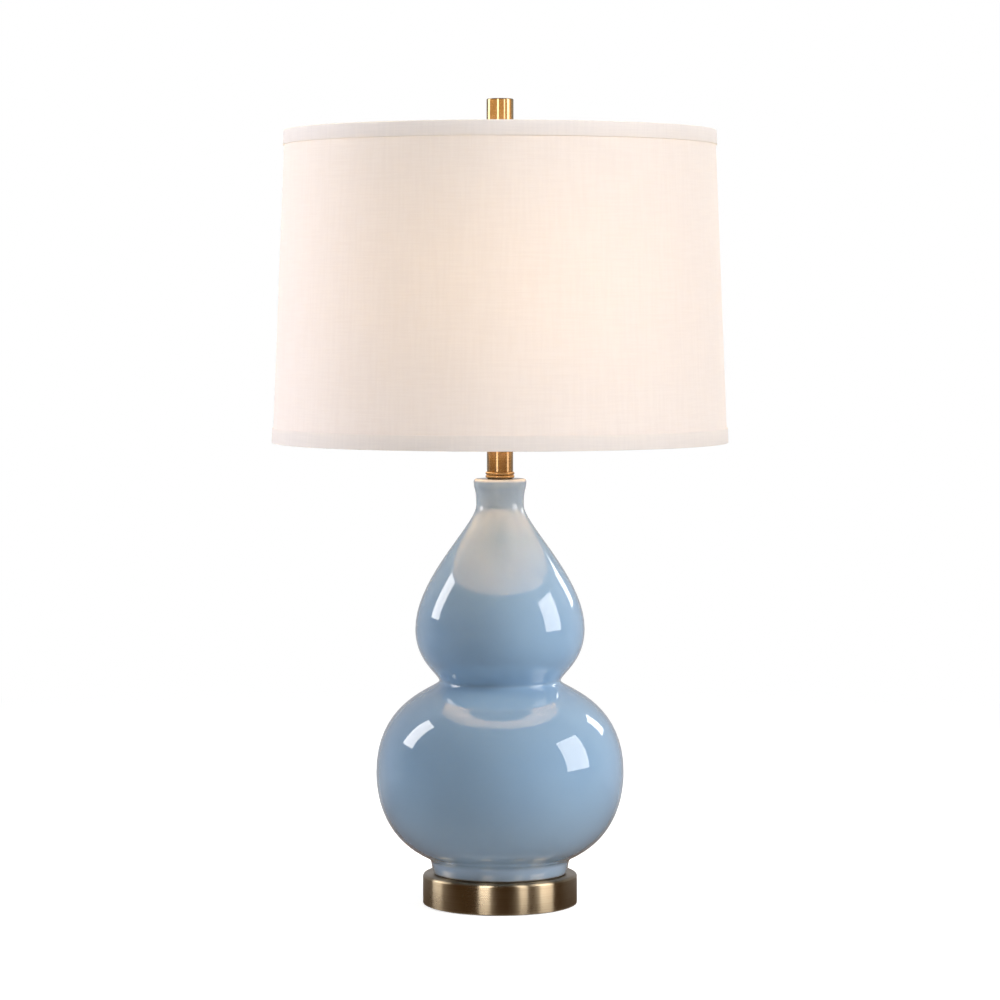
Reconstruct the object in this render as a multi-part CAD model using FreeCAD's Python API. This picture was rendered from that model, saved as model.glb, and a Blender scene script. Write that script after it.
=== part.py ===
import FreeCAD, Part
import math
import os

from FreeCAD import Vector

# Double gourd table lamp: a hollow glazed ceramic body on a weighted brass base, with a brass
# neck, a socket with its bulb, and a conical fabric shade that hangs on a harp under a finial.
# Millimetres, +Z up. The origin is the centre of the underside, on the table. -Y is the front.

# Clearances
thread_gap = 0.1
shaft_gap = 0.05
seat_gap = 0.2
glue_gap = 0.1
slip_gap = 0.4
pipe_hole_gap = 0.4
least_round = 0.3
cut_margin = 1.0

# Weighted base
base_r = 63.5
base_height = 25.4
base_wall = 1.2
base_edge_r = 2.4
base_rim_lift = 0.8
pad_thick = 2.0
nut_recess_r = 17.0

# Cord outlet in the rear of the base
cord_z = 9.0
cord_bore_r = 3.4
bushing_wall = 1.3
bushing_flange_r = 6.5
bushing_flange_thick = 1.5
bushing_clip_r = 5.4
bushing_clip_thick = 1.2
bushing_tail = 5.0

# Lamp pipe and the nut, lock washer and washer under the weight
pipe_r = 5.1
pipe_bore_r = 3.6
pipe_tail = 1.5
washer_r = 15.0
washer_thick = 1.6
lock_washer_r = 8.6
lock_washer_thick = 1.2
nut_flats = 16.0
nut_height = 5.0

# Ceramic body: radii, heights over its underside, and how far each curve stays upright
foot_gasket_r = 53.0
foot_gasket_thick = 0.8
foot_r = 55.4
foot_edge = 0.8
foot_top_r = 56.8
foot_top_z = 8.8
groove_r = 57.7
groove_z = 11.8
groove_blend = 3.6
under_out = 33.9
under_up = 16.1
lower_r = 101.7
lower_z = 83.1
lower_full_down = 22.5
lower_full_up = 60.4
waist_r = 49.9
waist_z = 158.4
waist_full_down = 6.2
waist_full_up = 5.5
upper_r = 69.5
upper_z = 200.9
upper_full_down = 26.8
upper_full_up = 42.1
neck_r = 19.5
neck_z = 302.5
neck_full_down = 15.5
neck_full_up = 15.5
lip_r = 21.6
lip_rise = 19.7
lip_full_down = 7.6
lip_round = 2.2
ceramic_wall = 5.0
ceramic_floor = 6.0
inner_crown_share = 0.4
inner_waist_share = 1.7
floor_hole_r = 12.0

# Brass neck
neck_gasket_r = 10.2
neck_gasket_thick = 0.6
bead_r = 1.3
beads_valley_r = 10.6
tube_r = 10.75
tube_wall = 1.2
tube_length = 27.6
thin_nut_flats = 14.0
thin_nut_height = 3.0

# Harp saddle and sleeves
saddle_thick = 1.6
saddle_width = 12.0
saddle_flat = 15.0
saddle_rise = 8.0
leg_x = 28.5
post_base_height = 3.9
post_base_width = 9.0
post_height = 11.4
post_width = 6.0
sleeve_height = 12.0
sleeve_wall = 0.7
sleeve_play = 0.25
sleeve_corner_r = 0.8

# Harp bow and its swivelling stud
bow_wire_r = 1.8
bow_half_width = 54.0
bow_height = 225.2
bow_corner_r = 44.0
leg_straight = 16.0
leg_flare_rise = 44.0
leg_lower_bend_r = 14.0
leg_upper_bend_r = 30.0
tongue_width = 5.0
tongue_lift = 0.7
eye_r = 7.0
stud_shank_r = 3.2
stud_head_r = 5.2
stud_head_thick = 1.9
seat_plate_r = 10.0
seat_plate_thick = 2.0
stud_thread_r = 3.1
stud_length = 12.2

# Socket
cap_hub_r = 7.5
cap_hub_height = 6.0
cap_r = 17.5
cap_wall = 0.8
cap_bowl_z = 3.6
cap_rim_z = 10.6
cap_height = 15.5
cap_screw_r = 1.5
cap_screw_z = 1.8
cap_screw_proud = 0.6
shell_wall = 0.6
shell_height = 46.6
liner_wall = 0.8
core_height = 23.5
screw_shell_r = 13.45
screw_shell_wall = 0.5
terminal_x = 11.0
terminal_z = 7.5
terminal_screw_r = 1.5
terminal_head_r = 2.6
terminal_head_thick = 1.6
terminal_screw_length = 5.0
terminal_pocket = 4.0
contact_width = 6.0
contact_thick = 0.5
contact_rise = 2.0
contact_foot_x = 9.4

# Switch key
switch_z = 11.5
switch_shaft_r = 1.6
switch_shaft_length = 24.7
switch_shaft_depth = 6.3
switch_hole_r = 2.6
knob_r = 5.2
knob_length = 14.0
knob_standoff = 5.5
knob_flutes = 12
knob_flute_r = 0.7
knob_edge_r = 0.6

# Bulb
bulb_r = 30.0
bulb_length = 110.0
bulb_glass = 1.0
bulb_neck_r = 12.3
bulb_tip_r = 4.6
bulb_tip_thick = 1.4
bulb_insulator_height = 4.0
bulb_insulator_step = 0.6
bulb_cap_r = 13.1
bulb_cap_wall = 0.4
bulb_cap_height = 20.0
bulb_glass_z = 14.0
bulb_neck_full = 14.0
bulb_side_full = 30.0
stem_r = 4.0
stem_flare_r = 10.6
stem_flare_thick = 2.0
stem_height = 36.0
filament_half_width = 12.0
filament_height = 12.0
filament_wire_r = 0.5

# Shade
shade_top_r = 176.2
shade_flare = 10.5
shade_height = 254.0
hub_drop = 17.7
trim_thick = 0.7
trim_band = 12.0
trim_fold = 8.0
fabric_thick = 0.5
liner_thick = 0.6
ring_wire_r = 1.75
hub_r = 14.0
hub_hole_r = 5.6
hub_thick = 1.8
arm_count = 3
arm_wire_r = 1.6
arm_start_r = 12.0
arm_level_r = 30.0
arm_bend_r = 60.0

# Finial
finial_height = 43.4
finial_r = 11.0
finial_top_round = 1.0
finial_collar_r = 9.0
finial_collar_height = 4.0
finial_neck_r = 7.0
finial_drum_z = 14.5
finial_flare = 2.5
insert_r = 5.0
insert_height = 16.0
insert_bore_depth = 13.5

# Heights over the table that follow from the sizes above
weight_top_z = base_height - base_wall
nut_recess_depth = pipe_tail + nut_height + lock_washer_thick + washer_thick + pad_thick
recess_top_z = pad_thick + nut_recess_depth
washer_z = recess_top_z - washer_thick
lock_washer_z = washer_z - lock_washer_thick
nut_z = lock_washer_z - nut_height
pipe_bottom_z = nut_z - pipe_tail
ceramic_z = base_height + foot_gasket_thick
lip_z = neck_z + lip_rise
lip_top_z = ceramic_z + lip_z + lip_round
neck_ring_z = lip_top_z + neck_gasket_thick
tube_z = neck_ring_z + 4 * bead_r
saddle_z = tube_z + tube_length
saddle_top_z = saddle_z + saddle_thick
socket_z = saddle_top_z + thin_nut_height
pipe_top_z = socket_z + cap_hub_height + thread_gap
shell_z = socket_z + cap_rim_z + seat_gap
core_z = shell_z + slip_gap
core_top_z = core_z + core_height
bulb_z = core_top_z + contact_rise + contact_thick + seat_gap
post_shoulder_z = saddle_top_z + saddle_rise + post_base_height
post_top_z = post_shoulder_z + post_height
leg_z = post_top_z + seat_gap
eye_z = saddle_top_z + bow_height
seat_plate_z = eye_z + bow_wire_r + seat_gap
seat_top_z = seat_plate_z + seat_plate_thick
hub_z = seat_top_z + seat_gap
hub_top_z = hub_z + hub_thick
finial_z = hub_top_z + seat_gap
shade_top_z = hub_top_z + hub_drop
shade_bottom_z = shade_top_z - shade_height
overall_height = finial_z + finial_height

# Radii that follow from the sizes above
pipe_hole_r = pipe_r + pipe_hole_gap
thread_bore_r = pipe_r + thread_gap
bushing_r = cord_bore_r + bushing_wall
shell_r = cap_r - cap_wall - glue_gap
shell_inner_r = shell_r - shell_wall
liner_r = shell_inner_r - glue_gap
core_r = liner_r - liner_wall - glue_gap
post_x = leg_x - seat_gap


def point(r, z):
    """A point of an outline in the plane of X and Z."""
    return Vector(r, 0, z)


def line(start, end):
    return Part.LineSegment(point(*start), point(*end)).toShape()


def arc(start, middle, end):
    return Part.Arc(point(*start), point(*middle), point(*end)).toShape()


def curve(*poles):
    """A Bezier curve, given by its poles."""
    bezier = Part.BezierCurve()
    bezier.setPoles([point(*pole) for pole in poles])
    return bezier.toShape()


def path(*points):
    """Straight edges from point to point."""
    return [line(start, end) for start, end in zip(points, points[1:])]


def quarter(centre, radius, first, second):
    """A quarter arc round centre between the unit directions first and second."""
    diagonal = math.sqrt(0.5)
    middle = [diagonal * (a + b) for a, b in zip(first, second)]
    spots = [
        (centre[0] + radius * way[0], centre[1] + radius * way[1])
        for way in (first, middle, second)
    ]
    return arc(*spots)


def turned(edges):
    """The solid that a closed outline sweeps round the Z axis."""
    face = Part.Face(Part.Wire(edges))
    return face.revolve(Vector(0, 0, 0), Vector(0, 0, 1), 360)


def turned_points(*points):
    return turned(path(*points, points[0]))


def washer(outer_r, inner_r, bottom_z, top_z):
    """A flat ring on the Z axis."""
    return turned_points(
        (inner_r, bottom_z), (outer_r, bottom_z), (outer_r, top_z), (inner_r, top_z)
    )


def rod(radius, start, end):
    """A round bar between two points."""
    start, end = Vector(*start), Vector(*end)
    way = end - start
    return Part.makeCylinder(radius, way.Length, start, way)


def block(x, y, z):
    """A box between the two values of x, of y and of z."""
    size = [high - low for low, high in (x, y, z)]
    return Part.makeBox(*size, Vector(x[0], y[0], z[0]))


def hex_nut(flats, bottom_z, top_z):
    """A hexagonal nut on the lamp pipe."""
    corner_r = flats / math.sqrt(3)
    corners = [
        Vector(corner_r * math.cos(turn), corner_r * math.sin(turn), bottom_z)
        for turn in (math.radians(60 * side) for side in range(7))
    ]
    prism = Part.Face(Part.makePolygon(corners)).extrude(Vector(0, 0, top_z - bottom_z))
    return prism.cut(rod(thread_bore_r, (0, 0, bottom_z), (0, 0, top_z)))


def rounded_path(corners):
    """Straight runs joined by tangent arcs. Each corner is (point, bend radius)."""
    edges = []
    spot = corners[0][0]
    for index in range(1, len(corners) - 1):
        corner, radius = corners[index]
        back = (corners[index - 1][0] - corner).normalize()
        ahead = (corners[index + 1][0] - corner).normalize()
        half = back.getAngle(ahead) / 2
        reach = radius / math.tan(half)
        first, last = corner + back * reach, corner + ahead * reach
        inward = (back + ahead).normalize()
        middle = corner + inward * (radius / math.sin(half) - radius)
        edges.append(Part.LineSegment(spot, first).toShape())
        edges.append(Part.Arc(first, middle, last).toShape())
        spot = last
    edges.append(Part.LineSegment(spot, corners[-1][0]).toShape())
    return Part.Wire(edges)


def wire_along(route, radius):
    """Round wire along a route."""
    start = route.Edges[0]
    ahead = start.tangentAt(start.FirstParameter)
    section = Part.Wire(Part.makeCircle(radius, route.OrderedVertexes[0].Point, ahead))
    return route.makePipeShell([section], True, False)


def base_pad():
    pad_r = base_r - base_wall - slip_gap
    return rod(pad_r, (0, 0, 0), (0, 0, pad_thick))


def base_cup():
    inner_r = base_r - base_wall
    inner_edge_r = max(base_edge_r - base_wall, least_round)
    edge_z = base_height - base_edge_r
    inner_edge_z = weight_top_z - inner_edge_r
    outline = path(
        (pipe_hole_r, weight_top_z),
        (pipe_hole_r, base_height),
        (base_r - base_edge_r, base_height),
    )
    outline.append(quarter((base_r - base_edge_r, edge_z), base_edge_r, (0, 1), (1, 0)))
    outline += path(
        (base_r, edge_z),
        (base_r, base_rim_lift),
        (inner_r, base_rim_lift),
        (inner_r, inner_edge_z),
    )
    outline.append(
        quarter((inner_r - inner_edge_r, inner_edge_z), inner_edge_r, (1, 0), (0, 1))
    )
    outline += path((inner_r - inner_edge_r, weight_top_z), (pipe_hole_r, weight_top_z))
    cup = turned(outline)
    hole_r = bushing_r + glue_gap
    return cup.cut(rod(hole_r, (0, inner_r - hole_r, cord_z), (0, base_r + cut_margin, cord_z)))


def base_weight():
    inner_edge_r = max(base_edge_r - base_wall, least_round)
    weight_r = base_r - base_wall - slip_gap
    chamfer = inner_edge_r + slip_gap
    disc = turned_points(
        (pipe_hole_r, pad_thick),
        (weight_r, pad_thick),
        (weight_r, weight_top_z - chamfer),
        (weight_r - chamfer, weight_top_z),
        (pipe_hole_r, weight_top_z),
    )
    recess = rod(nut_recess_r, (0, 0, pad_thick), (0, 0, recess_top_z))
    half_width = bushing_clip_r + slip_gap
    channel = block(
        (-half_width, half_width),
        (0, base_r),
        (pad_thick, cord_z + half_width),
    )
    return disc.cut(recess.fuse(channel))


def cord_bushing():
    inner_r = base_r - base_wall
    clip_y = math.sqrt(inner_r**2 - bushing_clip_r**2) - glue_gap
    flange = rod(
        bushing_flange_r,
        (0, base_r, cord_z),
        (0, base_r + bushing_flange_thick, cord_z),
    )
    clip = rod(
        bushing_clip_r, (0, clip_y, cord_z), (0, clip_y - bushing_clip_thick, cord_z)
    )
    barrel = rod(bushing_r, (0, inner_r - bushing_tail, cord_z), (0, base_r, cord_z))
    bore = rod(
        cord_bore_r,
        (0, inner_r - bushing_tail, cord_z),
        (0, base_r + bushing_flange_thick, cord_z),
    )
    return flange.fuse(barrel).fuse(clip).cut(bore).removeSplitter()


def lamp_pipe():
    return washer(pipe_r, pipe_bore_r, pipe_bottom_z, pipe_top_z)


def gourd_outside():
    """The glazed outline from the underside of the foot to the flat top of the lip."""
    z = ceramic_z
    reach = math.hypot(under_out, under_up)
    blend_r = groove_r + groove_blend * under_out / reach
    blend_z = groove_z + groove_blend * under_up / reach
    return [
        line((foot_r - foot_edge, z), (foot_r, z + foot_edge)),
        line((foot_r, z + foot_edge), (foot_top_r, z + foot_top_z)),
        curve((foot_top_r, z + foot_top_z), (groove_r, z + groove_z), (blend_r, z + blend_z)),
        curve(
            (blend_r, z + blend_z),
            (blend_r + under_out, z + blend_z + under_up),
            (lower_r, z + lower_z - lower_full_down),
            (lower_r, z + lower_z),
        ),
        curve(
            (lower_r, z + lower_z),
            (lower_r, z + lower_z + lower_full_up),
            (waist_r, z + waist_z - waist_full_down),
            (waist_r, z + waist_z),
        ),
        curve(
            (waist_r, z + waist_z),
            (waist_r, z + waist_z + waist_full_up),
            (upper_r, z + upper_z - upper_full_down),
            (upper_r, z + upper_z),
        ),
        curve(
            (upper_r, z + upper_z),
            (upper_r, z + upper_z + upper_full_up),
            (neck_r, z + neck_z - neck_full_down),
            (neck_r, z + neck_z),
        ),
        curve(
            (neck_r, z + neck_z),
            (neck_r, z + neck_z + neck_full_up),
            (lip_r, z + lip_z - lip_full_down),
            (lip_r, z + lip_z),
        ),
        quarter((lip_r - lip_round, z + lip_z), lip_round, (1, 0), (0, 1)),
    ]


def gourd_inside():
    """The outline of the hollow, one wall inside the glaze, from the neck down to the floor."""
    z = ceramic_z
    wall = ceramic_wall
    tighter = inner_crown_share * wall
    wider = inner_waist_share * wall
    shelf_z = z + lip_z + lip_round - ceramic_floor
    floor_z = z + ceramic_floor
    floor_r = foot_r - wall
    return [
        line((neck_r - wall, shelf_z), (neck_r - wall, z + neck_z)),
        curve(
            (neck_r - wall, z + neck_z),
            (neck_r - wall, z + neck_z - neck_full_down - wall),
            (upper_r - wall, z + upper_z + upper_full_up - tighter),
            (upper_r - wall, z + upper_z),
        ),
        curve(
            (upper_r - wall, z + upper_z),
            (upper_r - wall, z + upper_z - upper_full_down + tighter),
            (waist_r - wall, z + waist_z + waist_full_up + wider),
            (waist_r - wall, z + waist_z),
        ),
        curve(
            (waist_r - wall, z + waist_z),
            (waist_r - wall, z + waist_z - waist_full_down - wider),
            (lower_r - wall, z + lower_z + lower_full_up - tighter),
            (lower_r - wall, z + lower_z),
        ),
        curve(
            (lower_r - wall, z + lower_z),
            (lower_r - wall, z + lower_z - lower_full_down),
            (groove_r + under_out, z + groove_z + under_up + wall),
            (groove_r, z + groove_z + wall),
        ),
        line((groove_r, z + groove_z + wall), (floor_r, floor_z)),
    ]


def ceramic_body():
    z = ceramic_z
    lip_hole_r = pipe_r + pipe_hole_gap
    shelf_z = lip_top_z - ceramic_floor
    floor_z = z + ceramic_floor
    top = path(
        (lip_r - lip_round, lip_top_z),
        (lip_hole_r, lip_top_z),
        (lip_hole_r, shelf_z),
        (neck_r - ceramic_wall, shelf_z),
    )
    bottom = path(
        (foot_r - ceramic_wall, floor_z),
        (floor_hole_r, floor_z),
        (floor_hole_r, z),
        (foot_r - foot_edge, z),
    )
    return turned(gourd_outside() + top + gourd_inside() + bottom)


def neck_ring():
    """Two half-round beads, one on the other."""
    z = neck_ring_z
    valley = beads_valley_r
    outline = path((pipe_hole_r, z), (valley, z))
    for bead in range(2):
        low = z + 2 * bead_r * bead
        outline.append(
            arc((valley, low), (valley + bead_r, low + bead_r), (valley, low + 2 * bead_r))
        )
    outline += path((valley, tube_z), (pipe_hole_r, tube_z), (pipe_hole_r, z))
    return turned(outline)


def neck_tube():
    return turned_points(
        (tube_r - tube_wall, tube_z),
        (tube_r, tube_z),
        (tube_r, saddle_z),
        (pipe_hole_r, saddle_z),
        (pipe_hole_r, saddle_z - tube_wall),
        (tube_r - tube_wall, saddle_z - tube_wall),
    )


def harp_saddle():
    """A strip under the socket, bent up at both ends into posts with shoulders."""
    outer, inner = post_x, post_x - saddle_thick
    bend_z = saddle_z + saddle_rise
    right = [
        (saddle_flat, saddle_z),
        (outer, bend_z),
        (outer, post_top_z),
        (inner, post_top_z),
        (inner, bend_z + saddle_thick),
        (saddle_flat - saddle_thick / 2, saddle_top_z),
    ]
    left = [(-x, z) for x, z in reversed(right)]
    corners = [point(*spot) for spot in right + left + right[:1]]
    strip = Part.Face(Part.makePolygon(corners)).extrude(Vector(0, saddle_width, 0))
    strip.translate(Vector(0, -saddle_width / 2, 0))
    wide, mid, narrow = saddle_width / 2, post_base_width / 2, post_width / 2
    base_z = saddle_top_z + saddle_rise
    front_view = (
        block((-outer, outer), (-wide, wide), (saddle_z, base_z))
        .fuse(block((-outer, outer), (-mid, mid), (base_z, post_shoulder_z)))
        .fuse(block((-outer, outer), (-narrow, narrow), (post_shoulder_z, post_top_z)))
    )
    hole = rod(pipe_hole_r, (0, 0, saddle_z), (0, 0, saddle_top_z))
    return strip.common(front_view).cut(hole).removeSplitter()


def harp_sleeve(side):
    """The oval collar over a post and the harp's leg. side is -1 for left and 1 for right."""
    half_x = bow_wire_r + sleeve_play
    half_y = post_width / 2 + sleeve_play
    low = post_shoulder_z + seat_gap

    def column(grow):
        reach_x, reach_y = half_x + grow, half_y + grow
        bar = block(
            (leg_x - reach_x, leg_x + reach_x), (-reach_y, reach_y), (low, low + sleeve_height)
        )
        upright = [edge for edge in bar.Edges if abs(edge.tangentAt(0).z) > 0.9]
        return bar.makeFillet(sleeve_corner_r + grow, upright)

    sleeve = column(sleeve_wall).cut(column(0))
    if side < 0:
        sleeve = sleeve.mirror(Vector(0, 0, 0), Vector(1, 0, 0))
    return sleeve


def harp_bow():
    """Bent wire with a flat tongue at each end and an eye at the top."""
    flare_z = leg_z + leg_straight
    wide_z = flare_z + leg_flare_rise
    right = [
        (point(leg_x, leg_z), 0),
        (point(leg_x, flare_z), leg_lower_bend_r),
        (point(bow_half_width, wide_z), leg_upper_bend_r),
        (point(bow_half_width, eye_z), bow_corner_r),
    ]
    left = [(Vector(-spot.x, 0, spot.z), bend) for spot, bend in reversed(right)]
    bow = wire_along(rounded_path(right + left), bow_wire_r)
    for side in (-1, 1):
        near, far = side * leg_x, side * (leg_x + saddle_thick)
        tongue = block(
            (min(near, far), max(near, far)),
            (-tongue_width / 2, tongue_width / 2),
            (post_shoulder_z + tongue_lift, leg_z),
        )
        bow = bow.fuse(tongue)
    eye = rod(eye_r, (0, 0, eye_z - bow_wire_r), (0, 0, eye_z + bow_wire_r))
    hole_r = stud_shank_r + shaft_gap
    hole = rod(hole_r, (0, 0, eye_z - bow_wire_r), (0, 0, eye_z + bow_wire_r))
    return bow.fuse(eye).cut(hole).removeSplitter()


def harp_stud():
    """The riveted head, the shank in the eye, the seat plate and the threaded stud."""
    head_top_z = eye_z - bow_wire_r - seat_gap
    return turned_points(
        (0, head_top_z - stud_head_thick),
        (stud_head_r, head_top_z - stud_head_thick),
        (stud_head_r, head_top_z),
        (stud_shank_r, head_top_z),
        (stud_shank_r, seat_plate_z),
        (seat_plate_r, seat_plate_z),
        (seat_plate_r, seat_top_z),
        (stud_thread_r, seat_top_z),
        (stud_thread_r, seat_top_z + stud_length),
        (0, seat_top_z + stud_length),
    )


def socket_cap():
    z = socket_z
    inner_r = cap_r - cap_wall
    outline = path((thread_bore_r, z), (cap_hub_r, z), (cap_hub_r, z + cap_bowl_z))
    outline.append(
        curve(
            (cap_hub_r, z + cap_bowl_z),
            (cap_r, z + cap_bowl_z),
            (cap_r, z + cap_bowl_z),
            (cap_r, z + cap_rim_z),
        )
    )
    outline += path(
        (cap_r, z + cap_rim_z),
        (cap_r, z + cap_height),
        (inner_r, z + cap_height),
        (inner_r, z + cap_rim_z),
    )
    floor_z = z + cap_bowl_z + cap_wall
    outline.append(
        curve((inner_r, z + cap_rim_z), (inner_r, floor_z), (inner_r, floor_z), (cap_hub_r, floor_z))
    )
    outline += path(
        (cap_hub_r, floor_z),
        (cap_hub_r, z + cap_hub_height),
        (thread_bore_r, z + cap_hub_height),
        (thread_bore_r, z),
    )
    hole = rod(
        cap_screw_r + thread_gap,
        (0, -pipe_r, z + cap_screw_z),
        (0, -cap_hub_r - cut_margin, z + cap_screw_z),
    )
    return turned(outline).cut(hole)


def cap_set_screw():
    z = socket_z + cap_screw_z
    return rod(cap_screw_r, (0, -pipe_r - thread_gap, z), (0, -cap_hub_r - cap_screw_proud, z))


def switch_opening(inner_r, outer_r):
    """What a wall between these radii loses for the switch shaft."""
    z = core_z + switch_z
    return rod(switch_hole_r, (0, -inner_r + switch_hole_r, z), (0, -outer_r - cut_margin, z))


def socket_shell():
    tube = washer(shell_r, shell_inner_r, shell_z, shell_z + shell_height)
    return tube.cut(switch_opening(shell_inner_r, shell_r))


def socket_liner():
    inner_r = liner_r - liner_wall
    tube = washer(liner_r, inner_r, shell_z, shell_z + shell_height - slip_gap)
    return tube.cut(switch_opening(inner_r, liner_r))


def socket_core():
    """The moulded inside, with a pocket for each terminal screw and the switch shaft's bore."""
    core = rod(core_r, (0, 0, core_z), (0, 0, core_top_z))
    z = core_z + terminal_z
    for side in (-1, 1):
        near, far = sorted((side * terminal_x, side * (core_r + cut_margin)))
        pocket = block(
            (near, far), (-terminal_pocket, terminal_pocket), (z - terminal_pocket, z + terminal_pocket)
        )
        hole = rod(
            terminal_screw_r + thread_gap,
            (side * (terminal_x - terminal_screw_length), 0, z),
            (side * (terminal_x + cut_margin), 0, z),
        )
        core = core.cut(pocket).cut(hole)
    bore_end = seat_gap - switch_shaft_depth
    bore = rod(
        switch_shaft_r + shaft_gap,
        (0, bore_end, core_z + switch_z),
        (0, -core_r - cut_margin, core_z + switch_z),
    )
    return core.cut(bore)


def screw_shell():
    outer_r = screw_shell_r + screw_shell_wall
    top_z = shell_z + shell_height - slip_gap
    return washer(outer_r, screw_shell_r, core_top_z, top_z)


def centre_contact():
    """A bent brass tongue: riveted at one end, raised under the bulb's tip."""
    bend_x = contact_foot_x / 2
    z = core_top_z
    spots = [
        (-contact_foot_x, z),
        (-bend_x, z),
        (-contact_rise, z + contact_rise),
        (bulb_tip_r, z + contact_rise),
        (bulb_tip_r, z + contact_rise + contact_thick),
        (-contact_rise - contact_thick / 2, z + contact_rise + contact_thick),
        (-bend_x - contact_thick / 2, z + contact_thick),
        (-contact_foot_x, z + contact_thick),
    ]
    outline = Part.makePolygon([point(*spot) for spot in spots + spots[:1]])
    tongue = Part.Face(outline).extrude(Vector(0, contact_width, 0))
    tongue.translate(Vector(0, -contact_width / 2, 0))
    return tongue


def terminal_screws():
    """The two screws that hold the wires' ends."""
    z = core_z + terminal_z
    screws = []
    for side in (-1, 1):
        seat = side * terminal_x
        shank_end = seat - side * (terminal_screw_length - seat_gap)
        shank = rod(terminal_screw_r, (shank_end, 0, z), (seat, 0, z))
        head = rod(terminal_head_r, (seat, 0, z), (seat + side * terminal_head_thick, 0, z))
        screws.append(shank.fuse(head))
    return Part.makeCompound(screws)


def switch_shaft():
    z = core_z + switch_z
    start = -switch_shaft_depth
    return rod(switch_shaft_r, (0, start, z), (0, start - switch_shaft_length, z))


def switch_knob():
    z = core_z + switch_z
    near = -cap_r - knob_standoff
    far = near - knob_length
    knob = rod(knob_r, (0, near, z), (0, far, z))
    edges = [edge for edge in knob.Edges if edge.Length > 2 * knob_r and edge.isClosed()]
    knob = knob.makeFillet(knob_edge_r, edges)
    bore_r = switch_shaft_r + glue_gap
    bore_end = -switch_shaft_depth - switch_shaft_length - glue_gap
    knob = knob.cut(rod(bore_r, (0, near, z), (0, bore_end, z)))
    for flute in range(knob_flutes):
        turn = 2 * math.pi * flute / knob_flutes
        x, rise = knob_r * math.cos(turn), knob_r * math.sin(turn)
        knob = knob.cut(rod(knob_flute_r, (x, near, z + rise), (x, far, z + rise)))
    return knob


def bulb_tip():
    return rod(bulb_tip_r, (0, 0, bulb_z), (0, 0, bulb_z + bulb_tip_thick))


def bulb_insulator():
    low = bulb_z + bulb_tip_thick
    high = low + bulb_insulator_height
    inner_r = bulb_cap_r - bulb_cap_wall
    return turned_points((0, low), (bulb_tip_r + bulb_insulator_step, low), (inner_r, high), (0, high))


def bulb_cap():
    low = bulb_z + bulb_tip_thick + bulb_insulator_height
    return washer(bulb_cap_r, bulb_cap_r - bulb_cap_wall, low, low + bulb_cap_height)


def bulb_glass_wall():
    """The pear-shaped envelope, open at its neck."""
    rim_z = bulb_z + bulb_glass_z
    neck_top_z = bulb_z + bulb_tip_thick + bulb_insulator_height + bulb_cap_height
    centre_z = bulb_z + bulb_length - bulb_r

    def side(inset):
        return curve(
            (bulb_neck_r - inset, neck_top_z),
            (bulb_neck_r - inset, neck_top_z + bulb_neck_full),
            (bulb_r - inset, centre_z - bulb_side_full),
            (bulb_r - inset, centre_z),
        )

    inner_r = bulb_r - bulb_glass
    neck_inner_r = bulb_neck_r - bulb_glass
    outline = [line((bulb_neck_r, rim_z), (bulb_neck_r, neck_top_z)), side(0)]
    outline.append(quarter((0, centre_z), bulb_r, (1, 0), (0, 1)))
    outline.append(line((0, centre_z + bulb_r), (0, centre_z + inner_r)))
    outline.append(quarter((0, centre_z), inner_r, (0, 1), (1, 0)))
    outline += [side(bulb_glass), line((neck_inner_r, neck_top_z), (neck_inner_r, rim_z))]
    outline.append(line((neck_inner_r, rim_z), (bulb_neck_r, rim_z)))
    return turned(Part.__sortEdges__(outline))


def bulb_stem():
    """The glass mount: a flared foot in the neck and a rod."""
    z = bulb_z + bulb_glass_z
    flare_top_z = z + stem_flare_thick
    return turned_points(
        (0, z),
        (stem_flare_r, z),
        (stem_flare_r, flare_top_z),
        (stem_r, flare_top_z + stem_r),
        (stem_r, z + stem_height),
        (0, z + stem_height),
    )


def bulb_filament():
    """Two supports on the stem with the filament between them."""
    low = bulb_z + bulb_glass_z + stem_height
    high = low + filament_height
    foot_x = stem_r - 2 * filament_wire_r
    bar = rod(filament_wire_r, (-filament_half_width, 0, high), (filament_half_width, 0, high))
    for side in (-1, 1):
        top = Vector(side * filament_half_width, 0, high)
        support = rod(filament_wire_r, (side * foot_x, 0, low + filament_wire_r), tuple(top))
        bar = bar.fuse(support).fuse(Part.makeSphere(filament_wire_r, top))
    return bar


def shade_r(z):
    """The outer radius of the trim at a height."""
    return shade_top_r + shade_flare * (shade_top_z - z) / shade_height


def cone_wall(depth, thick, low, high):
    """A conical wall whose outer face lies depth inside the trim's outer face."""
    return turned_points(
        (shade_r(low) - depth - thick, low),
        (shade_r(low) - depth, low),
        (shade_r(high) - depth, high),
        (shade_r(high) - depth - thick, high),
    )


fabric_depth = trim_thick + glue_gap
shade_liner_depth = fabric_depth + fabric_thick + glue_gap
ring_depth = shade_liner_depth + liner_thick + glue_gap
fold_depth = ring_depth + 2 * ring_wire_r + glue_gap
wall_top_z = shade_top_z - trim_thick - glue_gap
wall_bottom_z = shade_bottom_z + trim_thick + glue_gap
top_ring_z = wall_top_z - ring_wire_r
bottom_ring_z = wall_bottom_z + ring_wire_r


def ring_r(z):
    """The radius of a wire ring's centre line at a height."""
    return shade_r(z) - ring_depth - ring_wire_r


def wire_ring(z):
    return Part.makeTorus(ring_r(z), ring_wire_r, Vector(0, 0, z))


def arm_turns():
    """The arms' angles from +X in degrees. One points to the rear."""
    return [90 + 360 * arm / arm_count for arm in range(arm_count)]


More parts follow.
